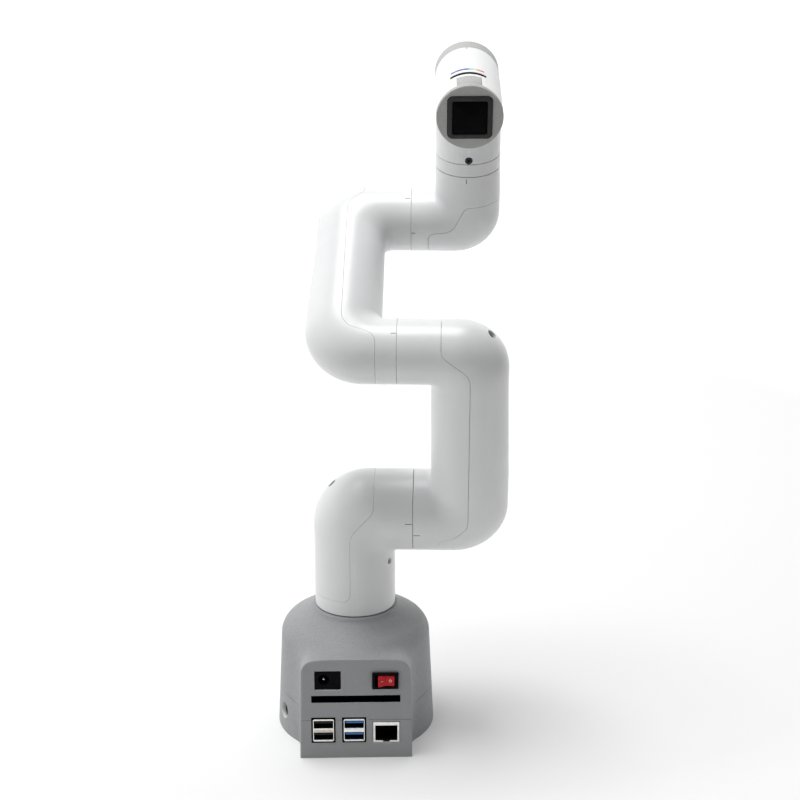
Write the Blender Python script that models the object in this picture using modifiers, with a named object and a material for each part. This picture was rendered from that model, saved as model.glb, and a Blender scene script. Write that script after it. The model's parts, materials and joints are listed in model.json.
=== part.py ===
"""Desktop six-axis collaborative robot arm, with its six joints posed half folded.

Metres, +Z up. The origin is where the first joint's axis meets the base's underside, and the
ports face -Y. Each link is modelled in its own straight frame, whose empty lies on its joint's
axis, and the empties chain from the base to the tool flange.
"""

import math

import bmesh
import bpy
from mathutils import Euler, Matrix, Vector

MM = 0.001

# Clearances
GAP = 0.3 * MM  # between two pieces that meet
RUNNING_GAP = 0.5 * MM  # seen at every turning joint

# Link tubes
BIG_R = 24.1 * MM  # tubes of the first two joints
SMALL_R = 18.5 * MM  # tubes of the other four
WALL = 2.0 * MM
TUBE_SIDES = 20

# Distances between joint axes
SHOULDER_Z = 136.8 * MM  # base underside to joint 2
UPPER_ARM = 111.4 * MM  # joint 2 to joint 3
FOREARM = 94.7 * MM  # joint 3 to joint 4
WRIST_X = 64.9 * MM  # joint 1 axis to joint 5 axis, sideways
HEAD_Z = 74.5 * MM  # joint 4 to joint 6, along joint 5's axis

# Where two links meet, along the joint's axis
SEAM_1 = 77.2 * MM  # height above the base's underside
SEAM_2 = 35.2 * MM
SEAM_3 = 26.7 * MM
SEAM_4 = 32.6 * MM
SEAM_5 = 35.5 * MM  # above joint 4
SEAM_6 = 33.0 * MM  # behind joint 5

# Joint hardware, measured from the seam
SERVO_FACE = 4.2 * MM  # servo case below the seam
SERVO_BIG = (32 * MM, 24 * MM, 28 * MM)
SERVO_SMALL = (24 * MM, 20 * MM, 24 * MM)
BASE_SERVO = (40 * MM, 24 * MM, 34 * MM)
BASE_TOP_WALL = 4.9 * MM
BOSS_R = 8.0 * MM
BORE_R = 3.4 * MM
SHAFT_R = 3.0 * MM
HORN_R = 10.5 * MM
HORN_BOTTOM, HORN_TOP = 0.7 * MM, 3.2 * MM
MOUNT_LOW, MOUNT_HIGH = -3.9 * MM, -1.4 * MM
DRIVEN_LOW, DRIVEN_HIGH = 3.5 * MM, 6.0 * MM
SCREW_HEAD_R, SCREW_SHANK_R = 2.0 * MM, 1.0 * MM

# Pose, each joint's turn from straight up, in degrees
TURN_1 = -3.4
LEAN_2 = 17.1
LEAN_3 = -67.8
LEAN_4 = 66.3
TURN_5 = 1.4

# Outlines of the links in their own XZ planes
ELBOW_IN_R = 2.5 * MM  # inner fillets of the big tubes
WRIST_IN_R = 1.5 * MM
SHOULDER_ELBOW_R = 32.0 * MM
UPPER_ARM_IN_X = 45.4 * MM
UPPER_ARM_LOW_OUT_X = 90.8 * MM
UPPER_ARM_TOP_OUT_X = 89.0 * MM
FOREARM_IN_X = 17.6 * MM
FOREARM_LOW_OUT_X = -25.2 * MM
FOREARM_TOP_OUT_X = -22.6 * MM
WRIST_IN_X = 46.3 * MM

# Base
BASE_R = 47.6 * MM
BASE_TOP_R = 44.7 * MM  # where the side meets the sloping shoulder
BASE_TOP_Z = 76.9 * MM
BASE_SEAM_Z = 24.7 * MM
BASE_WALL = 2.5 * MM
BASE_SIDES = 36
PORT_FACE_Y = -52.5 * MM
PORT_BLOCK_W = 66.0 * MM
PORT_BLOCK_TOP_W = 63.4 * MM
PORT_BLOCK_H = 63.5 * MM
FLOOR_T = 3.0 * MM

# Controller board and its ports
BOARD_W = 56.0 * MM
BOARD_L = 84.0 * MM
BOARD_Z = 8.6 * MM
BOARD_T = 1.4 * MM
BOARD_FRONT_Y = PORT_FACE_Y + 2.8 * MM
BOARD_HOLES = [(side * 24.5 * MM, y) for side in (-1, 1) for y in (-26.0 * MM, 30.0 * MM)]
PORT_FRONT_Y = PORT_FACE_Y - 0.3 * MM  # the steel cases stand a little proud
USB_W, USB_H, USB_DEPTH = 13.6 * MM, 16.2 * MM, 17.5 * MM
USB_2_X, USB_3_X = -19.1 * MM, -1.1 * MM
LAN_X, LAN_W, LAN_H, LAN_DEPTH = 17.7 * MM, 15.3 * MM, 13.2 * MM, 21.0 * MM
POWER_Z = 50.3 * MM
DC_X, DC_BORE_X = -16.3 * MM, -18.6 * MM
SWITCH_X = 17.2 * MM
ROCKER_PIVOT_Y = PORT_FACE_Y + 1.6 * MM
ROCKER_TILT = 9.0  # degrees, with the left half out
SLOT_Z, SLOT_W, SLOT_H = 38.35 * MM, 52.0 * MM, 4.6 * MM

# Head
CAP_FRONT_Y = -24.8 * MM
CAP_T = 2.9 * MM
BEZEL_W = 24.4 * MM
SCREEN_W = 19.0 * MM
COLLAR_TOP_Z = 43.3 * MM
FLANGE_END_Y = 42.6 * MM
TANGENT_STEP = 0.1 * MM  # keeps the head's upright tube just inside its cross tube's sides

COLOURS = {
    "white_shell": ((0.86, 0.86, 0.85), 0.45, 0.0),
    "grey_base": ((0.27, 0.28, 0.28), 0.60, 0.0),
    "grey_cap": ((0.36, 0.36, 0.35), 0.55, 0.0),
    "black_plastic": ((0.02, 0.02, 0.02), 0.45, 0.0),
    "dark_bezel": ((0.07, 0.07, 0.075), 0.50, 0.0),
    "screen_black": ((0.01, 0.01, 0.012), 0.15, 0.0),
    "red_rocker": ((0.55, 0.02, 0.02), 0.30, 0.0),
    "servo_case": ((0.05, 0.05, 0.055), 0.50, 0.0),
    "port_steel": ((0.70, 0.70, 0.68), 0.30, 1.0),
    "screw_steel": ((0.35, 0.35, 0.36), 0.35, 1.0),
    "horn_alloy": ((0.62, 0.62, 0.63), 0.35, 1.0),
    "board_green": ((0.02, 0.16, 0.07), 0.50, 0.0),
}

PARTS = "desktop_robot_arm"
CUTTERS = "cutters"


# ---------------------------------------------------------------- scene and helpers


def clear_scene():
    for obj in list(bpy.data.objects):
        bpy.data.objects.remove(obj)


def new_collection(name):
    group = bpy.data.collections.new(name)
    bpy.context.scene.collection.children.link(group)
    return group


def make_material(name, colour, roughness, metallic):
    made = bpy.data.materials.new(name)
    made.use_nodes = True
    shader = made.node_tree.nodes["Principled BSDF"]
    shader.inputs["Base Color"].default_value = (*colour, 1.0)
    shader.inputs["Roughness"].default_value = roughness
    shader.inputs["Metallic"].default_value = metallic


def add_empty(name, parent, location, rotation=(0, 0, 0)):
    """A link's frame, or a seam's frame whose Z runs from the parent link to the child link."""
    empty = bpy.data.objects.new(name, None)
    bpy.data.collections[PARTS].objects.link(empty)
    empty.parent = parent
    empty.location = location
    empty.rotation_euler = [math.radians(angle) for angle in rotation]
    return empty


def add_object(name, mesh, frame, material):
    """A sub-part with a material, or a cutter when the material is None."""
    obj = bpy.data.objects.new(name, mesh)
    bpy.data.collections[PARTS if material else CUTTERS].objects.link(obj)
    obj.parent = frame
    if material:
        if not mesh.materials:
            mesh.materials.append(bpy.data.materials[material])
    else:
        obj.hide_render = True
        obj.display_type = "WIRE"
    return obj


def mesh_from(bm, name):
    mesh = bpy.data.meshes.new(name)
    bm.to_mesh(mesh)
    bm.free()
    mesh.shade_smooth()
    mesh.set_sharp_from_angle(angle=math.radians(35))
    return mesh


def block(name, low, high, frame, material=None):
    """A box between two opposite corners."""
    bm = bmesh.new()
    bmesh.ops.create_cube(bm, size=1.0)
    low, high = Vector(low), Vector(high)
    bmesh.ops.scale(bm, vec=high - low, verts=bm.verts)
    bmesh.ops.translate(bm, vec=(low + high) / 2, verts=bm.verts)
    return add_object(name, mesh_from(bm, name), frame, material)


def rod(name, radius, start, end, frame, material=None, at=(0, 0), sides=16):
    """A cylinder along the frame's Z, from start to end."""
    bm = bmesh.new()
    bmesh.ops.create_cone(
        bm, cap_ends=True, segments=sides, radius1=radius, radius2=radius, depth=end - start
    )
    bmesh.ops.translate(bm, vec=(at[0], at[1], (start + end) / 2), verts=bm.verts)
    return add_object(name, mesh_from(bm, name), frame, material)


def turned(name, profile, frame, material=None, sides=TUBE_SIDES, closed=False):
    """A profile of (radius, height) points turned about the frame's Z.

    An open profile starts and ends on the axis, and a closed one makes a ring.
    """
    bm = bmesh.new()
    points = [bm.verts.new((radius, 0, height)) for radius, height in profile]
    pairs = zip(points, points[1:] + points[:1]) if closed else zip(points, points[1:])
    for first, second in pairs:
        bm.edges.new((first, second))
    mesh = bpy.data.meshes.new(name)
    bm.to_mesh(mesh)
    bm.free()
    obj = add_object(name, mesh, frame, material)
    screw = obj.modifiers.new("turn", "SCREW")
    screw.steps = screw.render_steps = sides
    screw.use_merge_vertices = True
    screw.merge_threshold = 0.00001
    screw.use_smooth_shade = False
    return obj


def rounded(corners, steps=5):
    """Outline points from (x, z, radius) corners, with each rounded corner as an arc."""
    points = []
    for index, (x, z, radius) in enumerate(corners):
        here = Vector((x, z))
        if not radius:
            points.append(here)
            continue
        back = (Vector(corners[index - 1][:2]) - here).normalized()
        ahead = (Vector(corners[(index + 1) % len(corners)][:2]) - here).normalized()
        half = back.angle(ahead) / 2
        centre = here + (back + ahead).normalized() * radius / math.sin(half)
        reach = radius / math.tan(half)
        spoke = here + back * reach - centre
        turn = spoke.angle_signed(here + ahead * reach - centre)
        for step in range(steps + 1):
            points.append(centre + Matrix.Rotation(-turn * step / steps, 2) @ spoke)
    return points


def grown(outline, distance):
    """The outline with every side moved out by distance, or in when it is negative."""
    pairs = list(zip(outline, outline[1:] + outline[:1]))
    turn = math.copysign(1, sum(a.x * b.y - b.x * a.y for a, b in pairs))
    normals = [Vector((b.y - a.y, a.x - b.x)).normalized() * turn for a, b in pairs]
    moved = []
    for index, here in enumerate(outline):
        before, after = normals[index - 1], normals[index]
        middle = (before + after).normalized()
        moved.append(here + middle * distance / middle.dot(after))
    return moved


def prism(name, outline, start, end, frame, material=None):
    """An outline in the frame's XZ plane, extruded along Y from start to end."""
    curve = bpy.data.curves.new(name, "CURVE")
    curve.dimensions = "2D"
    curve.fill_mode = "BOTH"
    curve.extrude = (end - start) / 2
    spline = curve.splines.new("POLY")
    spline.points.add(len(outline) - 1)
    for point, (x, z) in zip(spline.points, outline):
        point.co = (x, z, 0, 1)
    spline.use_cyclic_u = True
    guide = bpy.data.objects.new(name + "_outline", curve)
    bpy.context.scene.collection.objects.link(guide)
    bpy.context.view_layer.update()
    mesh = bpy.data.meshes.new_from_object(
        guide.evaluated_get(bpy.context.evaluated_depsgraph_get())
    )
    bpy.data.objects.remove(guide)
    bm = bmesh.new()
    bm.from_mesh(mesh)
    bmesh.ops.remove_doubles(bm, verts=bm.verts, dist=0.00001)
    bmesh.ops.rotate(bm, matrix=Euler((math.pi / 2, 0, 0)).to_matrix(), verts=bm.verts)
    bmesh.ops.translate(bm, vec=(0, (start + end) / 2, 0), verts=bm.verts)
    bmesh.ops.recalc_face_normals(bm, faces=bm.faces)
    return add_object(name, mesh_from(bm, name), frame, material)


def combine(obj, operation, *others):
    """DIFFERENCE, UNION or INTERSECT of obj with each of the others, left as modifiers."""
    for other in others:
        step = obj.modifiers.new(operation.lower(), "BOOLEAN")
        step.operation = operation
        step.object = other
    return obj


# ---------------------------------------------------------------- link shells


def corner_reach(pivot, direction, corner, radius):
    """Distance from pivot along direction to two walls that meet in a rounded corner."""
    side = [math.copysign(1, c - p) for c, p in zip(corner, pivot)]
    walls = [(c - p) / d for c, p, d in zip(corner, pivot, direction) if abs(d) > 1e-6]
    reach = min(distance for distance in walls if distance > 0)
    centre = Vector([c - s * radius for c, s in zip(corner, side)])
    hit = pivot + direction * reach
    if any((h - m) * s <= 0 for h, m, s in zip(hit, centre, side)):
        return reach
    to_centre = centre - pivot
    along = to_centre.dot(direction)
    return along + math.sqrt(radius**2 - to_centre.length_squared + along**2)


def elbow(pivot, inner_radius, corner, radius, turns, depths, steps=4):
    """Stations fanned about an inner fillet's centre, as (inner point, outer point, half depth)."""
    pivot = Vector(pivot)
    stations = []
    for step in range(steps + 1):
        part = step / steps
        turn = math.radians(turns[0] + (turns[1] - turns[0]) * part)
        direction = Vector((math.cos(turn), math.sin(turn)))
        reach = corner_reach(pivot, direction, corner, radius)
        depth = depths[0] + (depths[1] - depths[0]) * part
        stations.append((pivot + direction * inner_radius, pivot + direction * reach, depth))
    return stations


def stub(along, centre, radius, is_vertical, outward):
    """The round end of a link, at a seam. outward is the sign from inner to outer point."""
    inner = Vector((along, centre - outward * radius))
    outer = Vector((along, centre + outward * radius))
    if is_vertical:
        inner, outer = inner.yx, outer.yx
    return [(inner, outer, radius)]


def loft(name, stations):
    """An open tube through elliptical rings, one at each station."""
    bm = bmesh.new()
    rings = []
    for inner, outer, depth in stations:
        centre, half = (inner + outer) / 2, (outer - inner) / 2
        ring = []
        for side in range(TUBE_SIDES):
            turn = 2 * math.pi * side / TUBE_SIDES
            at = centre + half * math.cos(turn)
            ring.append(bm.verts.new((at.x, depth * math.sin(turn), at.y)))
        rings.append(ring)
    for ring, following in zip(rings, rings[1:]):
        for side in range(TUBE_SIDES):
            after = (side + 1) % TUBE_SIDES
            bm.faces.new((ring[side], ring[after], following[after], following[side]))
    return mesh_from(bm, name)


def split_shell(link, frame, stations, cover_corners, bulkheads, screws=()):
    """A link's hollow shell as two pieces: the frame, which keeps both round ends, and the cover.

    cover_corners outline the cover in the link's plane. bulkheads are the rings that hold the
    joints' hardware inside the round ends.
    """
    mesh = loft(link + "_shell", stations)
    outline = rounded(cover_corners)
    depth = 2 * BIG_R
    inside = prism(link + "_cover_cut", grown(outline, -GAP / 2), -depth, depth, frame)
    outside = prism(link + "_frame_cut", grown(outline, GAP / 2), -depth, depth, frame)
    pieces = []
    for suffix in ("frame", "cover"):
        piece = add_object(f"{link}_{suffix}", mesh, frame, "white_shell")
        wall = piece.modifiers.new("wall", "SOLIDIFY")
        wall.thickness = WALL
        wall.offset = -1
        wall.use_even_offset = True
        pieces.append(piece)
    combine(pieces[0], "DIFFERENCE", outside)
    combine(pieces[0], "UNION", *bulkheads)
    combine(pieces[1], "INTERSECT", inside)
    return pieces


def bulkhead(name, seam, tube_radius, low, high, hole_radius):
    """A ring across a round end, reaching halfway into its wall."""
    outer = tube_radius - WALL / 2
    profile = [(outer, high), (outer, low), (hole_radius, low), (hole_radius, high)]
    return turned(name, profile, seam, closed=True)


# ---------------------------------------------------------------- joint hardware


def servo(joint, seam, size, face=SERVO_FACE):
    """A servo below a seam, with its output boss at the seam and a bore for the horn's shaft."""
    name = f"j{joint}_servo"
    width, depth, length = size
    low = (-width / 2, -depth / 2, -face - length)
    case = block(name, low, (width / 2, depth / 2, -face), seam, "servo_case")
    boss = rod(name + "_boss", BOSS_R, -face - 1 * MM, -0.8 * MM, seam)
    bore = rod(name + "_bore", BORE_R, -face - 5 * MM, 1 * MM, seam, sides=12)
    combine(case, "UNION", boss)
    return combine(case, "DIFFERENCE", bore)


def horn(joint, seam, shaft_end=-7.5 * MM):
    """The output disc above a seam, on the shaft that turns in the servo's bore."""
    profile = [
        (0, HORN_TOP),
        (HORN_R, HORN_TOP),
        (HORN_R, HORN_BOTTOM),
        (SHAFT_R, HORN_BOTTOM),
        (SHAFT_R, shaft_end),
        (0, shaft_end),
    ]
    return turned(f"j{joint}_horn", profile, seam, "horn_alloy", sides=16)


def servo_mount(joint, seam, tube_radius):
    """The ring in the parent link that the servo's boss passes through."""
    name = f"j{joint}_servo_mount"
    return bulkhead(name, seam, tube_radius, MOUNT_LOW, MOUNT_HIGH, BOSS_R + GAP)


def horn_mount(joint, seam, tube_radius):
    """The ring in the child link that is fixed on the horn."""
    name = f"j{joint}_horn_mount"
    return bulkhead(name, seam, tube_radius, DRIVEN_LOW, DRIVEN_HIGH, SHAFT_R)


def screw(name, seat, top, neck, end, head_r=SCREW_HEAD_R, sides=10):
    """A cylinder-head screw whose head runs from top down to neck, and its shank on to end."""
    profile = [
        (0, top),
        (head_r, top),
        (head_r, neck),
        (SCREW_SHANK_R, neck),
        (SCREW_SHANK_R, end),
        (0, end),
    ]
    return turned(name, profile, seat, "screw_steel", sides=sides)


def recessed_screw(name, shell, frame, location, rotation):
    """A screw whose head sits in a boss behind the shell's surface, which is at the seat's Z = 0."""
    seat = add_empty(name + "_seat", frame, location, rotation)
    boss_r, mouth_r = SCREW_HEAD_R + 1.8 * MM, SCREW_HEAD_R + GAP
    neck, clear_r = -4.1 * MM, 1.4 * MM
    boss = rod(name + "_boss", boss_r, -6.5 * MM, -WALL / 2, seat, sides=12)
    recess = [
        (0, 3 * MM),
        (mouth_r, 3 * MM),
        (mouth_r, neck - GAP),
        (clear_r, neck - GAP),
        (clear_r, -10 * MM),
        (0, -10 * MM),
    ]
    hole = turned(name + "_hole", recess, seat, sides=12)
    combine(shell, "UNION", boss)
    combine(shell, "DIFFERENCE", hole)
    screw(name, seat, -2.4 * MM, neck, neck - 9 * MM)


# ---------------------------------------------------------------- base


def dome_profile(inset=0.0, top_inset=0.0, floor=0.0):
    """Half section of the base's dome, from the axis at the top to the axis at the bottom."""
    corner = Vector((39.5 * MM, 67.2 * MM))
    arc_centre = Vector((35.0 * MM, 58.6 * MM))
    arc_r = BASE_TOP_R - arc_centre.x - inset
    steps = 4
    start = (corner - arc_centre).angle(Vector((1, 0)))
    points = [(0, BASE_TOP_Z - top_inset), (25.0 * MM - inset, BASE_TOP_Z - top_inset)]
    points.append((28.5 * MM - inset / 2, 73.6 * MM - inset))
    for step in range(steps + 1):
        turn = start * (1 - step / steps)
        points.append(
            (arc_centre.x + arc_r * math.cos(turn), arc_centre.y + arc_r * math.sin(turn))
        )
    return points + [(BASE_R - inset, floor), (0, floor)]


def port_block(name, frame, inset, front, back, bottom):
    """The block that carries the ports, with a slight draft and rounded upper corners."""
    low, high = PORT_BLOCK_W / 2 - inset, PORT_BLOCK_TOP_W / 2 - inset
    top, radius = PORT_BLOCK_H - inset, 7.5 * MM - inset / 2
    corners = [(-low, bottom, 0), (low, bottom, 0), (high, top, radius), (-high, top, radius)]
    return prism(name, rounded(corners), front, back, frame)


def base_housing(frame):
    """Upper housing and lower tray, cut from one hollow shell at the seam."""
    hollow = [
        turned("dome_hollow", dome_profile(BASE_WALL, 3 * MM, -5 * MM), frame, None, BASE_SIDES),
        port_block("block_hollow", frame, BASE_WALL, PORT_FACE_Y + BASE_WALL, -10 * MM, -5 * MM),
    ]
    ports = port_openings(frame)
    hub_hole = rod("hub_hole", BOSS_R + GAP, 70 * MM, 80 * MM, frame, sides=24)
    side_hole = side_lock(frame)
    wide = 60 * MM
    halves = {
        "base_upper_housing": (BASE_SEAM_Z + GAP / 2, 90 * MM),
        "base_lower_tray": (-10 * MM, BASE_SEAM_Z - GAP / 2),
    }
    for name, (low, high) in halves.items():
        piece = turned(name, dome_profile(), frame, "grey_base", BASE_SIDES)
        solid = port_block(name + "_block", frame, 0, PORT_FACE_Y, -10 * MM, 0)
        combine(piece, "UNION", solid)
        combine(piece, "DIFFERENCE", *hollow, *ports, side_hole, hub_hole)
        keep = block(name + "_keep", (-wide, -wide, low), (wide, wide, high), frame)
        combine(piece, "INTERSECT", keep)


def port_openings(frame):
    """Cutters through the port face, one for each connector."""
    front, back = PORT_FACE_Y - 5 * MM, PORT_FACE_Y + 5 * MM
    board_top = BOARD_Z + BOARD_T
    sizes = {
        "usb_2": (USB_2_X, USB_W, board_top, USB_H),
        "usb_3": (USB_3_X, USB_W, board_top, USB_H),
        "lan": (LAN_X, LAN_W, board_top, LAN_H),
        "dc": (DC_X, 15.4 * MM - 2 * GAP, POWER_Z - 6.1 * MM + GAP, 12.2 * MM - 2 * GAP),
        "switch": (SWITCH_X, 13.6 * MM, POWER_Z - 4.5 * MM, 9.0 * MM),
        "slot": (0, SLOT_W - 2 * GAP, SLOT_Z - SLOT_H / 2 + GAP, SLOT_H - 2 * GAP),
    }
    cutters = []
    for name, (x, width, bottom, height) in sizes.items():
        low = (x - width / 2 - GAP, front, bottom - GAP)
        high = (x + width / 2 + GAP, back, bottom + height + GAP)
        cutters.append(block(name + "_opening", low, high, frame))
    return cutters


def side_lock(frame):
    """The round recess low on the side, with the grub screw that clamps an accessory base."""
    seat = add_empty("side_lock_seat", frame, (0, 0, 13.5 * MM), (0, 90, -158))
    hole = rod("side_lock_hole", 5.2 * MM, 40 * MM, 52 * MM, seat)
    screw = rod("side_lock_screw", 4.9 * MM, 37 * MM, 43.5 * MM, seat, "screw_steel")
    socket = rod("side_lock_hex", 2.0 * MM, 40.5 * MM, 46 * MM, seat, sides=6)
    combine(screw, "DIFFERENCE", socket)
    return hole


def floor_plate(frame):
    """The plate that closes the tray, flush with its rim, with posts for the board."""
    clear = BASE_WALL + GAP
    plate = turned(
        "base_floor_plate",
        [(0, FLOOR_T), (BASE_R - clear - 0.2 * MM, FLOOR_T), (BASE_R - clear, 0), (0, 0)],
        frame,
        "grey_base",
        BASE_SIDES,
    )
    half = PORT_BLOCK_W / 2 - clear
    tab = block("floor_tab", (-half, PORT_FACE_Y + clear, 0), (half, 0, FLOOR_T), frame)
    combine(plate, "UNION", tab)
    post_r, pilot_r, post_top = 3.0 * MM, 1.4 * MM, BOARD_Z - GAP
    for index, at in enumerate(BOARD_HOLES):
        post = rod(f"floor_post_{index}", post_r, 1 * MM, post_top, frame, at=at, sides=8)
        combine(plate, "UNION", post)
        pilot = rod(f"floor_pilot_{index}", pilot_r, 3.5 * MM, 20 * MM, frame, at=at, sides=8)
        combine(plate, "DIFFERENCE", pilot)


def controller_board(frame):
    """The board that carries the ports, screwed to the floor plate's posts."""
    back, half = BOARD_FRONT_Y + BOARD_L, BOARD_W / 2
    low, high = (-half, BOARD_FRONT_Y, BOARD_Z), (half, back, BOARD_Z + BOARD_T)
    board = block("controller_board", low, high, frame, "board_green")
    for side in (-1, 1):
        at = (side * half, back)
        notch = rod(f"board_corner_{side}", 4.5 * MM, 0, 20 * MM, frame, at=at, sides=8)
        combine(board, "DIFFERENCE", notch)
    for index, (x, y) in enumerate(BOARD_HOLES):
        hole = rod(f"board_hole_{index}", 1.5 * MM, 0, 20 * MM, frame, at=(x, y), sides=8)
        combine(board, "DIFFERENCE", hole)
        seat = add_empty(f"board_screw_{index}_seat", frame, (x, y, BOARD_Z + BOARD_T + GAP))
        name = f"board_screw_{index + 1}"
        screw(name, seat, 1.6 * MM, 0, -6 * MM, head_r=2.6 * MM, sides=8)


def usb_stack(name, x, frame):
    """Two USB sockets in one steel case, each with its contact tongue."""
    bottom, front, half = BOARD_Z + BOARD_T + GAP, PORT_FRONT_Y, USB_W / 2
    case = block(
        name,
        (x - half, front, bottom),
        (x + half, front + USB_DEPTH, bottom + USB_H - GAP),
        frame,
        "port_steel",
    )
    for level, z in enumerate((4.2 * MM, 11.7 * MM)):
        middle = bottom + z
        pocket = block(
            f"{name}_pocket_{level}",
            (x - 5.9 * MM, front - 1 * MM, middle - 2.4 * MM),
            (x + 5.9 * MM, front + 12 * MM, middle + 2.4 * MM),
            frame,
        )
        tongue = block(
            f"{name}_tongue_{level}",
            (x - 5.0 * MM, front + 1.0 * MM, middle + 0.1 * MM),
            (x + 5.0 * MM, front + 13 * MM, middle + 1.9 * MM),
            frame,
        )
        combine(case, "DIFFERENCE", pocket)
        combine(case, "UNION", tongue)


def ethernet_jack(frame):
    """A steel network jack with its plug opening and the slot for the plug's latch."""
    bottom, front = BOARD_Z + BOARD_T + GAP, PORT_FRONT_Y
    case = block(
        "ethernet_jack",
        (LAN_X - LAN_W / 2, front, bottom),
        (LAN_X + LAN_W / 2, front + LAN_DEPTH, bottom + LAN_H - GAP),
        frame,
        "port_steel",
    )
    half = 6.4 * MM
    socket = block(
        "lan_socket",
        (LAN_X - half, front - 1 * MM, bottom + 1.7 * MM),
        (LAN_X + half, front + 12 * MM, bottom + 10.6 * MM),
        frame,
    )
    latch = block(
        "lan_latch",
        (LAN_X - 2.4 * MM, front - 1 * MM, bottom + 0.6 * MM),
        (LAN_X + 2.4 * MM, front + 12 * MM, bottom + 2.5 * MM),
        frame,
    )
    combine(case, "DIFFERENCE", socket, latch)


def dc_jack(frame):
    """The power inlet: a round bore left of centre in a rectangular face, and its pin."""
    half_w, half_h = 7.4 * MM, 5.8 * MM
    seat = add_empty("dc_seat", frame, (DC_BORE_X, PORT_FACE_Y, POWER_Z + 0.3 * MM), (90, 0, 0))
    body = block(
        "dc_power_jack",
        (DC_X - half_w, PORT_FACE_Y + 0.6 * MM, POWER_Z - half_h),
        (DC_X + half_w, PORT_FACE_Y + 13 * MM, POWER_Z + half_h),
        frame,
        "black_plastic",
    )
    bore = turned(
        "dc_bore",
        [
            (0, 2 * MM),
            (3.2 * MM, 2 * MM),
            (3.2 * MM, -9.5 * MM),
            (1.4 * MM, -9.5 * MM),
            (1.4 * MM, -11.5 * MM),
            (0, -11.5 * MM),
        ],
        seat,
        sides=16,
    )
    combine(body, "DIFFERENCE", bore)
    rod("dc_jack_pin", 1.05 * MM, -11.2 * MM, -1.2 * MM, seat, "horn_alloy", sides=8)


def power_switch(frame):
    """The switch's case with its flange, and the red rocker on its upright pivot line."""
    half_w, half_h = 6.7 * MM, 4.4 * MM
    case = block(
        "power_switch_case",
        (SWITCH_X - half_w, PORT_FACE_Y - 0.4 * MM, POWER_Z - half_h),
        (SWITCH_X + half_w, PORT_FACE_Y + 14 * MM, POWER_Z + half_h),
        frame,
        "black_plastic",
    )
    flange = block(
        "switch_flange",
        (SWITCH_X - 7.65 * MM, PORT_FACE_Y - 1.5 * MM, POWER_Z - 5.15 * MM),
        (SWITCH_X + 7.65 * MM, PORT_FACE_Y - GAP, POWER_Z + 5.15 * MM),
        frame,
    )
    well = block(
        "switch_well",
        (SWITCH_X - 5.8 * MM, PORT_FACE_Y - 3 * MM, POWER_Z - 3.7 * MM),
        (SWITCH_X + 5.8 * MM, PORT_FACE_Y + 6 * MM, POWER_Z + 3.7 * MM),
        frame,
    )
    combine(case, "UNION", flange)
    combine(case, "DIFFERENCE", well)
    pivot = add_empty(
        "power_rocker_pivot", frame, (SWITCH_X, ROCKER_PIVOT_Y, POWER_Z), (90, 0, ROCKER_TILT)
    )
    half = 4.9 * MM
    outline = [
        Vector(point)
        for point in (
            (-half, 3.9 * MM),
            (0, 2.6 * MM),
            (half, 3.9 * MM),
            (half - 0.6 * MM, -1.2 * MM),
            (0, -2.2 * MM),
            (0.6 * MM - half, -1.2 * MM),
        )
    ]
    prism("power_rocker", outline, -3.4 * MM, 3.4 * MM, pivot, "red_rocker")


def gpio_header(frame):
    """The pin header behind the long slot, on its upright adapter board."""
    half_w, half_h = 25.4 * MM, 2.5 * MM
    block(
        "gpio_header",
        (-half_w, PORT_FACE_Y + 6.2 * MM, SLOT_Z - half_h),
        (half_w, PORT_FACE_Y + 14.6 * MM, SLOT_Z + half_h),
        frame,
        "black_plastic",
    )
    block(
        "gpio_adapter_board",
        (-27 * MM, PORT_FACE_Y + 14.9 * MM, SLOT_Z - 5 * MM),
        (27 * MM, PORT_FACE_Y + 16.5 * MM, SLOT_Z + 5 * MM),
        frame,
        "board_green",
    )


def build_base(frame):
    base_housing(frame)
    floor_plate(frame)
    controller_board(frame)
    usb_stack("usb_2_sockets", USB_2_X, frame)
    usb_stack("usb_3_sockets", USB_3_X, frame)
    ethernet_jack(frame)
    dc_jack(frame)
    power_switch(frame)
    gpio_header(frame)
    seam = add_empty("j1_base_side", frame, (0, 0, SEAM_1))
    servo(1, seam, BASE_SERVO, face=BASE_TOP_WALL)


# ---------------------------------------------------------------- links


def build_shoulder(frame):
    """The first link: an upright tube that turns sideways into joint 2."""
    inner_r = ELBOW_IN_R
    low = SHOULDER_Z - BIG_R
    pivot = (BIG_R + inner_r, low - inner_r)
    corner = (-BIG_R, SHOULDER_Z + BIG_R)
    stations = stub(SEAM_2 - RUNNING_GAP / 2, SHOULDER_Z, BIG_R, False, 1)
    stations += elbow(pivot, inner_r, corner, SHOULDER_ELBOW_R, (90, 180), (BIG_R, BIG_R))
    stations += stub(SEAM_1 + RUNNING_GAP, 0, BIG_R, True, -1)
    turn_in = add_empty("j1_link_side", frame, (0, 0, SEAM_1))
    turn_out = add_empty("j2_shoulder_side", frame, (SEAM_2, 0, SHOULDER_Z), (0, 90, 0))
    bulkheads = [horn_mount(1, turn_in, BIG_R), servo_mount(2, turn_out, BIG_R)]
    cover = [
        (-35 * MM, 85.5 * MM, 0),
        (-1.5 * MM, 86.5 * MM, 5 * MM),
        (-1.5 * MM, 128 * MM, 12 * MM),
        (12.3 * MM, 143 * MM, 6 * MM),
        (12.3 * MM, 175 * MM, 0),
        (-35 * MM, 175 * MM, 0),
    ]
    pieces = split_shell("shoulder", frame, stations, cover, bulkheads)
    recessed_screw(
        "shoulder_top_screw", pieces[1], frame, (-13.5 * MM, 0, 152.6 * MM), (0, -42, 0)
    )
    recessed_screw(
        "shoulder_side_screw", pieces[0], frame, (21.5 * MM, -10.9 * MM, 107.8 * MM), (0, 90, -26.9)
    )
    horn(1, turn_in)
    servo(2, turn_out, SERVO_BIG)


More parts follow.
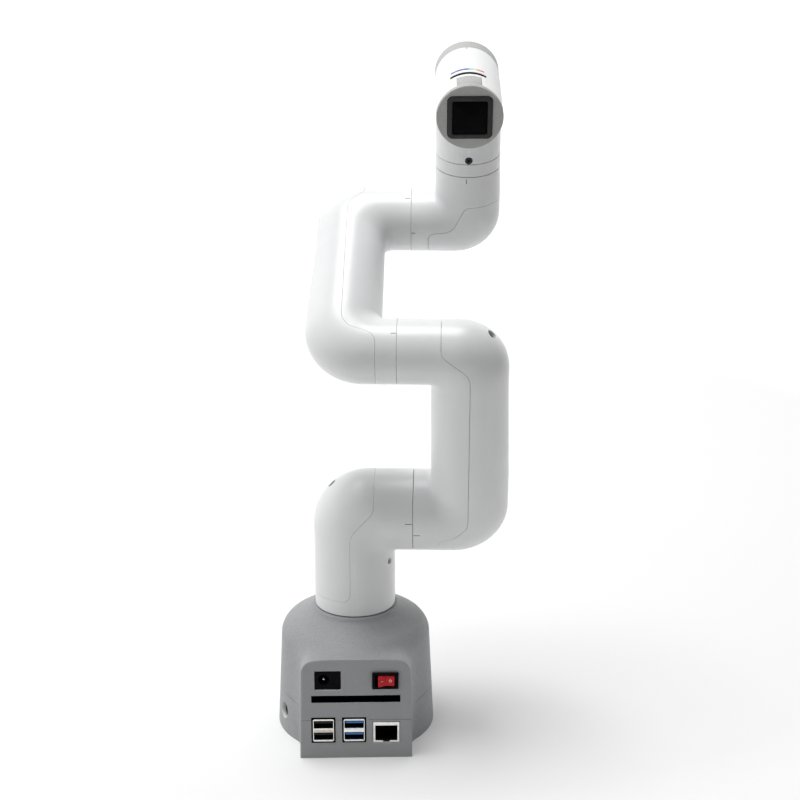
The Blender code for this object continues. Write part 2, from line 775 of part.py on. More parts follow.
def build_upper_arm(frame):
    """The second link: out from joint 2, up beside it, and back to joint 3."""
    inner_r = ELBOW_IN_R
    top = UPPER_ARM
    low_pivot = (UPPER_ARM_IN_X - inner_r, BIG_R + inner_r)
    top_pivot = (UPPER_ARM_IN_X - inner_r, top - SMALL_R - inner_r)
    stations = stub(SEAM_2 + RUNNING_GAP / 2, 0, BIG_R, False, -1)
    stations += elbow(
        low_pivot,
        inner_r,
        (UPPER_ARM_LOW_OUT_X, -BIG_R),
        30 * MM,
        (-90, 0),
        (BIG_R, 23.2 * MM),
    )
    stations += elbow(
        top_pivot,
        inner_r,
        (UPPER_ARM_TOP_OUT_X, top + SMALL_R),
        28 * MM,
        (0, 90),
        (20.5 * MM, SMALL_R),
    )
    stations += stub(SEAM_3 + RUNNING_GAP / 2, top, SMALL_R, False, 1)
    turn_in = add_empty("j2_arm_side", frame, (SEAM_2, 0, 0), (0, 90, 0))
    turn_out = add_empty("j3_arm_side", frame, (SEAM_3, 0, top), (0, -90, 0))
    bulkheads = [horn_mount(2, turn_in, BIG_R), servo_mount(3, turn_out, SMALL_R)]
    cover = [
        (50.5 * MM, -35 * MM, 0),
        (50.5 * MM, -5.5 * MM, 4 * MM),
        (60 * MM, -3 * MM, 8 * MM),
        (67.2 * MM, 5 * MM, 8 * MM),
        (67.2 * MM, 107 * MM, 10 * MM),
        (51 * MM, 119 * MM, 5 * MM),
        (51 * MM, 145 * MM, 0),
        (105 * MM, 145 * MM, 0),
        (105 * MM, -35 * MM, 0),
    ]
    pieces = split_shell("upper_arm", frame, stations, cover, bulkheads)
    recessed_screw(
        "upper_arm_top_screw", pieces[1], frame, (79.3 * MM, 0, 123.2 * MM), (0, 40, 0)
    )
    horn(2, turn_in)
    servo(3, turn_out, SERVO_SMALL)


def build_forearm(frame):
    """The third link: back from joint 3, up, and across to joint 4."""
    low_inner_r, top_inner_r = WRIST_IN_R, 6.0 * MM
    top = FOREARM
    low_pivot = (FOREARM_IN_X + low_inner_r, SMALL_R + low_inner_r)
    top_pivot = (FOREARM_IN_X + top_inner_r, top - SMALL_R - top_inner_r)
    stations = stub(SEAM_4 - RUNNING_GAP / 2, top, SMALL_R, False, 1)
    stations += elbow(
        top_pivot,
        top_inner_r,
        (FOREARM_TOP_OUT_X, top + SMALL_R),
        25 * MM,
        (90, 180),
        (SMALL_R, 19 * MM),
    )
    stations += elbow(
        low_pivot,
        low_inner_r,
        (FOREARM_LOW_OUT_X, -SMALL_R),
        32 * MM,
        (180, 270),
        (20 * MM, SMALL_R),
    )
    stations += stub(SEAM_3 - RUNNING_GAP / 2, 0, SMALL_R, False, -1)
    turn_in = add_empty("j3_forearm_side", frame, (SEAM_3, 0, 0), (0, -90, 0))
    turn_out = add_empty("j4_forearm_side", frame, (SEAM_4, 0, top), (0, 90, 0))
    bulkheads = [horn_mount(3, turn_in, SMALL_R), servo_mount(4, turn_out, SMALL_R)]
    cover = [
        (15 * MM, -30 * MM, 0),
        (15 * MM, -1 * MM, 8 * MM),
        (-4 * MM, 5 * MM, 10 * MM),
        (-4 * MM, 92 * MM, 10 * MM),
        (5 * MM, 101 * MM, 4 * MM),
        (5 * MM, 130 * MM, 0),
        (-40 * MM, 130 * MM, 0),
        (-40 * MM, -30 * MM, 0),
    ]
    split_shell("forearm", frame, stations, cover, bulkheads)
    horn(3, turn_in)
    servo(4, turn_out, SERVO_SMALL)


def build_wrist(frame):
    """The fourth link: a right-angle elbow from joint 4 up to joint 5."""
    inner_r = WRIST_IN_R
    pivot = (WRIST_IN_X - inner_r, SMALL_R + inner_r)
    corner = (WRIST_X + SMALL_R + 0.4 * MM, -SMALL_R)
    stations = stub(SEAM_4 + RUNNING_GAP / 2, 0, SMALL_R, False, -1)
    stations += elbow(pivot, inner_r, corner, 25 * MM, (-90, 0), (SMALL_R, SMALL_R))
    stations += stub(SEAM_5 - RUNNING_GAP / 2, WRIST_X, SMALL_R, True, 1)
    turn_in = add_empty("j4_wrist_side", frame, (SEAM_4, 0, 0), (0, 90, 0))
    turn_out = add_empty("j5_wrist_side", frame, (WRIST_X, 0, SEAM_5))
    bulkheads = [horn_mount(4, turn_in, SMALL_R), servo_mount(5, turn_out, SMALL_R)]
    cover = [
        (42.5 * MM, -30 * MM, 0),
        (42.5 * MM, -0.5 * MM, 4 * MM),
        (56 * MM, 0.5 * MM, 9 * MM),
        (64 * MM, 16.2 * MM, 4 * MM),
        (95 * MM, 16.6 * MM, 0),
        (95 * MM, -30 * MM, 0),
    ]
    split_shell("wrist", frame, stations, cover, bulkheads)
    horn(4, turn_in)
    servo(5, turn_out, SERVO_SMALL)


# ---------------------------------------------------------------- head and tool flange


def head_tubes(name, radius, frame, bottom, front, back):
    """An upright tube and the cross tube on top of it, as two overlapping solids."""
    upright = rod(name + "_upright", radius - TANGENT_STEP, bottom, HEAD_Z, frame, sides=24)
    across = add_empty(name + "_axis", frame, (0, 0, HEAD_Z), (-90, 0, 0))
    cross = rod(name + "_cross", radius, front, back, across, sides=24)
    return upright, cross


def build_head(frame):
    """The last link: a collar on joint 5, the cross tube with the screen, and joint 6's drive."""
    turn_in = add_empty("j5_head_side", frame, (0, 0, SEAM_5))
    turn_out = add_empty("j6_head_side", frame, (0, SEAM_6, HEAD_Z), (-90, 0, 0))
    front, back = CAP_FRONT_Y + CAP_T, SEAM_6 - RUNNING_GAP / 2
    hollow = head_tubes("head_hollow", SMALL_R - WALL, frame, 40 * MM, -40 * MM, 50 * MM)
    shell = head_outer("head_shell", frame, front, back)
    insets = {
        "head_port_cover": (-22.2 * MM, -10.1 * MM, 6.8 * MM, "grey_cap"),
        "head_pin_strip": (-8.0 * MM, -4.4 * MM, 9.8 * MM, "black_plastic"),
    }
    combine(shell, "DIFFERENCE", *hollow)
    for name, (low_y, high_y, half, material) in insets.items():
        high = HEAD_Z + 25 * MM
        piece = head_outer(name, frame, front, back, material)
        combine(piece, "DIFFERENCE", *hollow)
        keep = block(name + "_keep", (-half, low_y, HEAD_Z), (half, high_y, high), frame)
        low, top = (-half - GAP, low_y - GAP, HEAD_Z), (half + GAP, high_y + GAP, high)
        combine(piece, "INTERSECT", keep)
        combine(shell, "DIFFERENCE", block(name + "_opening", low, top, frame))
    combine(shell, "UNION", servo_mount(6, turn_out, SMALL_R))
    head_collar(frame, shell)
    front_cap(frame)
    horn(5, turn_in)
    servo(6, turn_out, SERVO_SMALL)


def head_outer(name, frame, front, back, material="white_shell"):
    """The head's solid outer form."""
    radius, bottom = SMALL_R - TANGENT_STEP, COLLAR_TOP_Z + GAP / 2
    form = rod(name, radius, bottom, HEAD_Z, frame, material, sides=24)
    across = add_empty(name + "_axis", frame, (0, 0, HEAD_Z), (-90, 0, 0))
    cross = rod(name + "_cross", SMALL_R, front + GAP / 2, back, across, sides=24)
    return combine(form, "UNION", cross)


def head_collar(frame, shell):
    """The ring on joint 5 that the head shell slides over, and the screw that holds them."""
    bottom, top = SEAM_5 + RUNNING_GAP / 2, COLLAR_TOP_Z - GAP / 2
    spigot = SMALL_R - WALL - GAP
    low, high = SEAM_5 + DRIVEN_LOW, SEAM_5 + DRIVEN_HIGH
    profile = [
        (SMALL_R, top),
        (SMALL_R, bottom),
        (SMALL_R - WALL, bottom),
        (SMALL_R - WALL, low),
        (SHAFT_R, low),
        (SHAFT_R, high),
        (spigot - WALL, high),
        (spigot - WALL, 52 * MM),
        (spigot, 52 * MM),
        (spigot, top),
    ]
    collar = turned("head_collar", profile, frame, "white_shell", sides=24, closed=True)
    seat = add_empty("head_screw_seat", frame, (0, -SMALL_R, 45.7 * MM), (90, 0, 0))
    hole = rod("head_screw_hole", 2.2 * MM, -3 * MM, 3 * MM, seat, sides=12)
    pilot = rod("head_screw_pilot", 1.4 * MM, -8 * MM, 3 * MM, seat, sides=8)
    combine(shell, "DIFFERENCE", hole)
    combine(collar, "DIFFERENCE", pilot)
    screw("head_screw", seat, -0.3 * MM, -1.8 * MM, -6 * MM, head_r=1.9 * MM)


def square(width, corner, centre_z):
    """A square's outline with rounded corners."""
    half = width / 2
    corners = [(-half, -half), (half, -half), (half, half), (-half, half)]
    return rounded([(x, centre_z + z, corner) for x, z in corners], steps=3)


def front_cap(frame):
    """The grey cap with the controller module's bezel, its screen button and its board."""
    front, back = CAP_FRONT_Y, CAP_FRONT_Y + CAP_T - GAP / 2
    across = add_empty("front_cap_axis", frame, (0, 0, HEAD_Z), (-90, 0, 0))
    cap = rod("head_front_cap", SMALL_R, front, back, across, "grey_cap", sides=24)
    opening = square(BEZEL_W + 2 * GAP, 3 * MM, HEAD_Z)
    combine(cap, "DIFFERENCE", prism("bezel_opening", opening, -40 * MM, 0, frame))
    face = CAP_FRONT_Y - 0.8 * MM
    outline = square(BEZEL_W, 3 * MM, HEAD_Z)
    bezel = prism("screen_bezel", outline, face, face + 10 * MM, frame, "dark_bezel")
    well = square(SCREEN_W + 2 * GAP, 1.2 * MM, HEAD_Z)
    combine(bezel, "DIFFERENCE", prism("screen_well", well, -40 * MM, face + 6 * MM, frame))
    button = square(SCREEN_W, 1.0 * MM, HEAD_Z)
    top = face + 0.4 * MM
    prism("screen_button", button, top, top + 3.6 * MM, frame, "screen_black")
    half = 11 * MM
    block(
        "head_controller_board",
        (-half, face + 10.4 * MM, HEAD_Z - half),
        (half, face + 12 * MM, HEAD_Z + half),
        frame,
        "board_green",
    )


def build_flange(frame):
    """The tool flange that joint 6 turns, with its four fixing holes. Its Z is the joint's axis."""
    start, end = RUNNING_GAP / 2, FLANGE_END_Y - SEAM_6
    profile = [
        (0, end),
        (SMALL_R, end),
        (SMALL_R, start),
        (SMALL_R - WALL, start),
        (SMALL_R - WALL, DRIVEN_LOW),
        (0, DRIVEN_LOW),
    ]
    flange = turned("tool_flange", profile, frame, "grey_cap", sides=24)
    circle_r, hole_r, depth = 11.3 * MM, 2.4 * MM, 5 * MM
    for index in range(4):
        turn = math.radians(45 + 90 * index)
        at = (circle_r * math.cos(turn), circle_r * math.sin(turn))
        name = f"flange_hole_{index}"
        hole = rod(name, hole_r, end - depth, end + 2 * MM, frame, at=at, sides=12)
        combine(flange, "DIFFERENCE", hole)
    horn(6, frame)


# ---------------------------------------------------------------- assembly


def main():
    clear_scene()
    new_collection(PARTS)
    new_collection(CUTTERS)
    for name, (colour, roughness, metallic) in COLOURS.items():
        make_material(name, colour, roughness, metallic)
    base = add_empty("base", None, (0, 0, 0))
    shoulder = add_empty("joint_1", base, (0, 0, 0), (0, 0, TURN_1))
    upper_arm = add_empty("joint_2", shoulder, (0, 0, SHOULDER_Z), (LEAN_2, 0, 0))
    forearm = add_empty("joint_3", upper_arm, (0, 0, UPPER_ARM), (LEAN_3, 0, 0))
    wrist = add_empty("joint_4", forearm, (0, 0, FOREARM), (LEAN_4, 0, 0))
    wrist_tip = add_empty("joint_5_foot", wrist, (WRIST_X, 0, 0))
    head = add_empty("joint_5", wrist_tip, (0, 0, 0), (0, 0, TURN_5))
    flange = add_empty("joint_6", head, (0, SEAM_6, HEAD_Z), (-90, 0, 0))
    build_base(base)
    build_shoulder(shoulder)
    build_upper_arm(upper_arm)
    build_forearm(forearm)
    build_wrist(wrist)
    build_head(head)
    build_flange(flange)


main()
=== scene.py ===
"""Finished look of the desktop robot arm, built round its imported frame.

Metres, +Z up, ports facing -Y. A link's shell is lofted in that link's own straight frame, which
is worked out from the joints' places and axes, and then set in the pose of the frame.
"""

import json
import math

import bmesh
import bpy
import numpy as np
from mathutils import Matrix, Vector


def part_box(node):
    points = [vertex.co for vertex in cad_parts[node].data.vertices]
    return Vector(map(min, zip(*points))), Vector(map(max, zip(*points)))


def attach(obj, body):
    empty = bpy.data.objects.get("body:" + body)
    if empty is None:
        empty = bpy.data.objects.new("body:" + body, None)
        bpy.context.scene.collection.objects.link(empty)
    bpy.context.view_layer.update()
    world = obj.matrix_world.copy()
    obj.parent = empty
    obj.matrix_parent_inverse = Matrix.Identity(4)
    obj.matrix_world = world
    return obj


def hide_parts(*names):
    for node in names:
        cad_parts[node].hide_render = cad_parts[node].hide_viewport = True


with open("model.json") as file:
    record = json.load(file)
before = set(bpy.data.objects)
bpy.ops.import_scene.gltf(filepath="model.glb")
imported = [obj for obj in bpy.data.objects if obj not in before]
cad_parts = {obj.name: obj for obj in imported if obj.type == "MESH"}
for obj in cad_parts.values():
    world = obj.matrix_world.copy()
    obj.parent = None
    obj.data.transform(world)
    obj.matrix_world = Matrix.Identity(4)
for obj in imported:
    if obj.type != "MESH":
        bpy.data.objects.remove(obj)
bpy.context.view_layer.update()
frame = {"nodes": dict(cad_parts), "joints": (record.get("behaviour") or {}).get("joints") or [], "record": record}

MM = 0.001


def mm(*values):
    """Millimetres in metres, for numbers and for points made of them."""
    return tuple(mm(*value) if isinstance(value, tuple) else value * MM for value in values)


# Clearances and small edges
GAP = 0.3 * MM
SEAM_GAP = 0.22 * MM  # between a link's frame and its cover
RUNNING_GAP = 0.3 * MM
FINE_GAP = 0.14 * MM  # the third and fourth joints
RIM = 0.1 * MM  # chamfer round a link's open end

# Tubes
BIG_R = 24.1 * MM
SMALL_R = 18.5 * MM
WALL = 2.0 * MM
TUBE_SIDES = 112
ELBOW_STEPS = 26
ROUND_SIDES = 64

# Base
PORT_FACE_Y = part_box("base_upper_housing")[0].y
BASE_TOP_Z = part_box("base_upper_housing")[1].z
BASE_SEAM_Z = 24.7 * MM
BASE_R = 47.6 * MM
BASE_WALL = 2.5 * MM
BASE_VOXEL = 0.8 * MM
BELOW = -3 * MM  # how far the base's form runs on below the floor before it is cut off
POWER_Z = 50.3 * MM
SLOT_Z = 38.35 * MM

# Head
HEAD_Z = 74.5 * MM
COLLAR_TOP_Z = 43.3 * MM
CAP_FRONT_Y = -24.8 * MM
CAP_T = 2.9 * MM
TANGENT_STEP = 0.1 * MM


# ---- places


JOINTS = {entry["name"]: entry for entry in frame["joints"]}
J2, J3, J4 = "joint_2_shoulder", "joint_3_elbow", "joint_4_wrist_bend"
J5, J6 = "joint_5_wrist_turn", "joint_6_tool_turn"


def joint_at(name):
    return Vector(JOINTS[name]["pos_m"])


def joint_axis(name):
    return Vector(JOINTS[name]["axis"])


def frame_at(origin, x_axis, z_axis):
    x_axis, z_axis = Vector(x_axis).normalized(), Vector(z_axis).normalized()
    place = Matrix((x_axis, z_axis.cross(x_axis), z_axis)).transposed().to_4x4()
    place.translation = Vector(origin)
    return place


def link_places():
    """Each link's straight frame: its Z runs up the link and its X along the joints' axes."""
    shoulder, elbow_at, bend = joint_at(J2), joint_at(J3), joint_at(J4)
    across, head_up, tool_axis = joint_axis(J2), joint_axis(J5), joint_axis(J6)
    head_x = tool_axis.cross(head_up)
    return {
        "base": Matrix.Identity(4),
        "shoulder": frame_at((0, 0, 0), across, (0, 0, 1)),
        "upper_arm": frame_at(shoulder, across, elbow_at - shoulder),
        "forearm": frame_at(elbow_at, across, bend - elbow_at),
        "wrist": frame_at(bend, across, head_up),
        "head": frame_at(joint_at(J5), head_x, head_up),
        "tool_flange": frame_at(joint_at(J6), head_x, tool_axis),
    }


PLACES = link_places()
BASE, HEAD = PLACES["base"], PLACES["head"]

SHOULDER_Z = JOINTS[J2]["pos_m"][2]
UPPER_ARM = (joint_at(J2) - joint_at(J3)).length
FOREARM = (joint_at(J3) - joint_at(J4)).length
WRIST_X = (joint_at(J4) - joint_at(J5)).length

# Where two links meet, along the joint's axis
SEAM_1 = BASE_TOP_Z + GAP
SEAM_2, SEAM_3, SEAM_4, SEAM_5, SEAM_6 = mm(35.2, 26.7, 32.6, 35.5, 33.0)


def turned_by(angles):
    """A rotation matrix from XYZ angles in degrees."""
    x, y, z = (math.radians(angle) for angle in angles)
    return Matrix.Rotation(z, 4, "Z") @ Matrix.Rotation(y, 4, "Y") @ Matrix.Rotation(x, 4, "X")


def spot(link, location, angles=(0, 0, 0)):
    """A place in the row frame from a location and a turn in a link's frame."""
    return PLACES[link] @ Matrix.Translation(location) @ turned_by(angles)


HEAD_AXIS = spot("head", (0, 0, HEAD_Z), (-90, 0, 0))  # points back along the cross tube
HEAD_SCREW = spot("head", (0, -SMALL_R, 45.7 * MM), (90, 0, 0))
SIDE_LOCK = spot("base", (0, 0, 13.5 * MM), (0, 90, -158))


# ---- materials


class Look:
    """A material being built. Sizes and depths of its texture are in millimetres."""

    def __init__(self, name, colour, roughness, metallic=0.0, coat=0.0, specular=0.5):
        self.made = bpy.data.materials.new(name)
        self.made.use_nodes = True
        self.tree = self.made.node_tree
        self.place = self.tree.nodes.new("ShaderNodeTexCoord").outputs["Object"]
        self.base = colour
        self.colour = None
        self.bump = None
        self.surface("Base Color", (*colour, 1))
        self.surface("Roughness", roughness)
        self.surface("Metallic", metallic)
        self.surface("Coat Weight", coat)
        self.surface("Specular IOR Level", specular)

    def feed(self, node, name, value):
        """Sets a node's input, or links it when the value is another node's output."""
        if isinstance(value, bpy.types.NodeSocket):
            self.tree.links.new(value, node.inputs[name])
        else:
            node.inputs[name].default_value = value

    def surface(self, name, value):
        self.feed(self.tree.nodes["Principled BSDF"], name, value)

    def node(self, kind, inputs, **settings):
        node = self.tree.nodes.new("ShaderNode" + kind)
        for name, value in settings.items():
            setattr(node, name, value)
        for name, value in inputs.items():
            self.feed(node, name, value)
        return node

    def noise(self, size, detail=2.0, stretch=None):
        """Noise with features about size across, stretched along some axes."""
        place = self.place
        if stretch:
            place = self.node("Mapping", {"Vector": place, "Scale": stretch}).outputs["Vector"]
        inputs = {"Vector": place, "Scale": 1 / (size * MM), "Detail": detail}
        return self.node("TexNoise", inputs).outputs["Fac"]

    def cell_edges(self, size):
        """Distance to the edges between cells about size across."""
        inputs = {"Vector": self.place, "Scale": 1 / (size * MM)}
        return self.node("TexVoronoi", inputs, feature="DISTANCE_TO_EDGE").outputs["Distance"]

    def vector(self, operation, other):
        """A number from the place on the surface and another vector."""
        inputs = {0: self.place, 1: other}
        return self.node("VectorMath", inputs, operation=operation).outputs["Value"]

    def ramp(self, value, stops):
        """Colours at positions along a value."""
        node = self.node("ValToRGB", {"Fac": value})
        while len(node.color_ramp.elements) < len(stops):
            node.color_ramp.elements.new(1.0)
        for element, (position, colour) in zip(node.color_ramp.elements, stops):
            element.position = position
            element.color = (*colour, 1)
        return node.outputs["Color"]

    def spread(self, value, low, high, start=0.3, end=0.7):
        """A value remapped so that start gives low and end gives high."""
        inputs = {"Value": value, "From Min": start, "From Max": end, "To Min": low, "To Max": high}
        return self.node("MapRange", inputs).outputs["Result"]

    def mottle(self, value, dark, light, start=0.3, end=0.7):
        """Colour that varies between two shades."""
        self.colour = self.ramp(value, [(start, dark), (end, light)])
        self.surface("Base Color", self.colour)

    def worn(self, edge_colour, amount):
        """Lighter or darker edges, where handling has polished them."""
        edges = self.node("NewGeometry", {}).outputs["Pointiness"]
        share = self.spread(edges, 0.0, amount, 0.52, 0.6)
        inputs = {"Factor": share, "A": self.colour, "B": (*edge_colour, 1)}
        self.colour = self.node("Mix", inputs, data_type="RGBA").outputs["Result"]
        self.surface("Base Color", self.colour)

    def tones(self, low, high, *noise):
        """Its own colour, made darker and lighter by noise."""
        self.mottle(self.noise(*noise), shade(self.base, low), shade(self.base, high))

    def gloss(self, low, high, *noise):
        """Roughness that varies over the surface."""
        self.surface("Roughness", self.spread(self.noise(*noise), low, high))

    def grain(self, depth, *noise):
        self.relief(depth, self.noise(*noise))

    def relief(self, depth, value):
        """Bump on top of any relief made before."""
        inputs = {"Strength": 1.0, "Distance": depth * MM, "Height": value}
        if self.bump:
            inputs["Normal"] = self.bump
        self.bump = self.node("Bump", inputs).outputs["Normal"]
        self.surface("Normal", self.bump)


def shade(colour, factor):
    return tuple(min(1.0, channel * factor) for channel in colour)


def white_shell():
    """Satin moulded shell with a faint spark-eroded grain and slow unevenness of gloss."""
    look = Look("shell_white", (0.775, 0.78, 0.785), 0.32)
    look.tones(0.985, 1.01, 18)
    look.worn((0.86, 0.86, 0.85), 0.35)
    look.gloss(0.29, 0.36, 6)
    look.grain(0.012, 0.35, 3.0)
    look.grain(0.008, 12)
    return look


def printed_grey(name, colour, grain=0.5):
    """Matte fine-grained nylon with pale and dark specks."""
    look = Look(name, colour, 0.55)
    look.tones(0.82, 1.18, grain, 4.0)
    look.worn(shade(colour, 1.35), 0.4)
    look.gloss(0.45, 0.62, 2.5)
    look.grain(0.05, grain * 0.7, 4.0)
    look.grain(0.06, 5)
    return look


def moulded(name, colour, roughness, grain=0.3, depth=0.015, specular=0.5):
    """Plain injection-moulded plastic with a fine grain."""
    look = Look(name, colour, roughness, specular=specular)
    look.tones(0.85, 1.2, 4)
    look.worn(shade(colour, 2.0), 0.3)
    look.gloss(roughness * 0.85, roughness * 1.2, 1.5)
    look.grain(depth, grain, 3.0)
    return look


def glossy(name, colour, roughness):
    """Polished surface with a few fine scuffs."""
    look = Look(name, colour, roughness, specular=0.25)
    look.tones(0.9, 1.1, 3)
    look.gloss(roughness * 0.7, roughness * 1.6, 0.8, 4.0, (1, 1, 6))
    look.grain(0.004, 2)
    return look


def metal(name, colour, roughness, brush=(1, 1, 14)):
    """Metal with fine brushing along one way and darker stains."""
    look = Look(name, colour, roughness, metallic=1.0)
    look.tones(0.82, 1.06, 2.2, 3.0)
    look.worn(shade(colour, 1.3), 0.5)
    look.gloss(roughness * 0.8, roughness * 1.3, 0.4, 2.0, brush)
    look.grain(0.01, 0.25, 2.0, brush)
    return look


def circuit_board():
    """Solder mask over copper tracks."""
    look = Look("circuit_board", (0.02, 0.14, 0.06), 0.4, coat=0.3)
    tracks = look.cell_edges(3.2)
    look.mottle(tracks, (0.03, 0.24, 0.10), (0.012, 0.11, 0.045), 0.04, 0.07)
    look.relief(0.05, look.spread(tracks, 1.0, 0.0, 0.04, 0.08))
    look.gloss(0.3, 0.45, 1.0)
    return look


def screen_glass():
    """Black glass over a dark display."""
    look = Look("screen_glass", (0.002, 0.002, 0.002), 0.3, specular=0.03)
    look.mottle(look.noise(6), (0.001, 0.001, 0.001), (0.003, 0.003, 0.004))
    look.gloss(0.22, 0.36, 2, 4.0)
    return look


def print_strip():
    """A printed strip that runs from blue through green to red along the head's X."""
    look = Look("print_strip", (0.1, 0.1, 0.3), 0.45)
    inputs = {"Vector": look.place, "Location": HEAD.translation, "Rotation": HEAD.to_euler()}
    mapping = look.node("Mapping", inputs, vector_type="TEXTURE")
    parts = look.node("SeparateXYZ", {"Vector": mapping.outputs["Vector"]})
    along = look.spread(parts.outputs["X"], 0.0, 1.0, *mm(-10.2, 8.6))
    stops = [
        (0.0, (0.12, 0.12, 0.42)), (0.48, (0.05, 0.06, 0.32)), (0.56, (0.20, 0.62, 0.38)),
        (0.72, (0.55, 0.70, 0.60)), (0.80, (0.75, 0.25, 0.22)), (1.0, (0.62, 0.10, 0.12)),
    ]
    look.surface("Base Color", look.ramp(along, stops))
    look.grain(0.01, 0.3)
    return look


def backdrop():
    """Matte pale paper with painted light: it glows, more towards the back and away from the arm, in place of the
    light on a studio backdrop. Away from the arm its colour is darker.
    """
    brightest, backwards = (0, 0.4, 0), (-0.4, 0.92, 0)
    look = Look("pale_paper", (0.9, 0.9, 0.9), 0.9, specular=0.1)
    reach = look.spread(look.vector("DISTANCE", brightest), 0.0, 1.0, 0.5, 1.3)
    look.mottle(reach, (0.74, 0.74, 0.74), (0.15, 0.15, 0.15), 0.05, 1.0)
    glow = look.spread(look.vector("DOT_PRODUCT", backwards), 0.1, 1.0, -1.0, 0.6)
    inputs = {0: glow, 1: look.spread(reach, 0.22, 1.0, 0.0, 0.7)}
    product = look.node("Math", inputs, operation="MULTIPLY")
    # Painted light: the emission makes the floor and its wall glow, most towards the back and away from the arm.
    look.surface("Emission Color", (1, 1, 1, 1))
    look.surface("Emission Strength", product.outputs["Value"])
    return look


LOOKS = {
    "white_shell": white_shell(),
    "grey_base": printed_grey("base_grey", (0.305, 0.315, 0.32)),
    "grey_cap": printed_grey("cap_grey", (0.40, 0.40, 0.39), 0.4),
    "dark_bezel": moulded("bezel_dark", (0.034, 0.034, 0.035), 0.6, 0.45, 0.05, 0.25),
    "screen_black": screen_glass(),
    "red_rocker": glossy("rocker_red", (0.50, 0.004, 0.008), 0.3),
    "board_green": circuit_board(),
    "print_strip": print_strip(),
    "black_plastic": moulded("black_plastic", (0.004, 0.004, 0.005), 0.6, specular=0.04),
    "tongue_black": moulded("tongue_black", (0.01, 0.01, 0.011), 0.45, specular=0.2),
    "socket_dark": moulded("socket_dark", (0.003, 0.003, 0.003), 0.6, specular=0.05),
    "socket_navy": moulded("socket_navy", (0.003, 0.006, 0.03), 0.6, specular=0.08),
}
for name, colour, *settings in (
    ("servo_case", (0.03, 0.03, 0.033), 0.5),
    # The tick strips' dark colour is painted shade, standing in for the shadow inside engraved lines.
    ("line_paint", (0.05, 0.05, 0.055), 0.6),
    ("tongue_blue", (0.02, 0.16, 0.42), 0.35),
    ("band_cream", (0.72, 0.60, 0.48), 0.45),
    ("mark_white", (0.75, 0.55, 0.52), 0.5),
):
    LOOKS[name] = moulded(name, colour, *settings)
for name, colour, *settings in (
    ("port_steel", (0.82, 0.81, 0.78), 0.24),
    ("screw_steel", (0.045, 0.045, 0.048), 0.4, (3, 3, 3)),
    ("horn_alloy", (0.66, 0.66, 0.67), 0.3),
    ("band_silver", (0.86, 0.86, 0.85), 0.3),
    ("contact_gold", (0.85, 0.60, 0.25), 0.25),
):
    LOOKS[name] = metal(name, colour, *settings)


# ---- mesh helpers


def added(name, data):
    """An object in the scene."""
    obj = bpy.data.objects.new(name, data)
    bpy.context.scene.collection.objects.link(obj)
    return obj


def shown(name, bm, place, look=None):
    """An object whose mesh is set in the row frame, with its material unless it is a cutter."""
    bmesh.ops.recalc_face_normals(bm, faces=bm.faces)
    bm.transform(place)
    mesh = bpy.data.meshes.new(name)
    bm.to_mesh(mesh)
    bm.free()
    obj = added(name, mesh)
    if look:
        mesh.materials.append(LOOKS[look].made)
    else:
        obj.hide_render = True
    return obj


def settle(obj):
    """Applies the object's modifiers."""
    graph = bpy.context.evaluated_depsgraph_get()
    mesh = bpy.data.meshes.new_from_object(obj.evaluated_get(graph))
    obj.modifiers.clear()
    obj.data = mesh
    return obj


def combine(obj, operation, *others):
    """DIFFERENCE, UNION or INTERSECT with each of the others, which are used up."""
    for other in others:
        step = obj.modifiers.new(operation.lower(), "BOOLEAN")
        step.operation = operation
        step.solver = "MANIFOLD"
        step.object = other
    settle(obj)
    for other in others:
        bpy.data.objects.remove(other)
    return obj


def cut(obj, *cutters):
    return combine(obj, "DIFFERENCE", *cutters)


def bevelled(obj, width, segments=2, angle=40):
    """Adds a modifier that rounds the object's sharp edges, width in millimetres."""
    bevel = obj.modifiers.new("edges", "BEVEL")
    bevel.width = width * MM
    bevel.segments = segments
    bevel.limit_method = "ANGLE"
    bevel.angle_limit = math.radians(angle)
    return obj


def soften(*edges):
    """Rounds an object's sharp edges for good."""
    return settle(bevelled(*edges))


def piece(obj, body, slot, *nodes, angle=32):
    """Finishes a piece: shading, the body it rides on and the nodes it stands for. Its slot is not used."""
    obj.data.shade_smooth()
    obj.data.set_sharp_from_angle(angle=math.radians(angle))
    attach(obj, body)
    if nodes:
        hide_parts(*nodes)
    return obj


def block(name, low, high, place, look=None, edge=0.0):
    bm = bmesh.new()
    bmesh.ops.create_cube(bm, size=1.0)
    low, high = Vector(low), Vector(high)
    bmesh.ops.scale(bm, vec=high - low, verts=bm.verts)
    bmesh.ops.translate(bm, vec=(low + high) / 2, verts=bm.verts)
    if edge:
        bmesh.ops.bevel(bm, geom=bm.edges, offset=edge, segments=2, profile=0.5, affect="EDGES")
    return shown(name, bm, place, look)


def level_ring(bm, radius, height, sides):
    """A ring of vertices about Z, or one vertex on the axis."""
    turns = [2 * math.pi * side / sides for side in range(sides if radius else 1)]
    return [bm.verts.new((radius * math.cos(t), radius * math.sin(t), height)) for t in turns]


def skin(bm, ring, following, sides):
    """Faces between two rings, either of which may be a single vertex."""
    for side in range(sides):
        after = (side + 1) % sides
        corners = [ring[side % len(ring)], following[side % len(following)]]
        if len(following) > 1:
            corners.append(following[after])
        if len(ring) > 1:
            corners.append(ring[after])
        bm.faces.new(corners)


def turned(name, profile, place, look=None, sides=ROUND_SIDES, closed=False):
    """A profile of (radius, height) points turned about the place's Z."""
    bm = bmesh.new()
    rings = [level_ring(bm, radius, height, sides) for radius, height in profile]
    for ring, following in zip(rings, rings[1:] + (rings[:1] if closed else [])):
        skin(bm, ring, following, sides)
    return shown(name, bm, place, look)


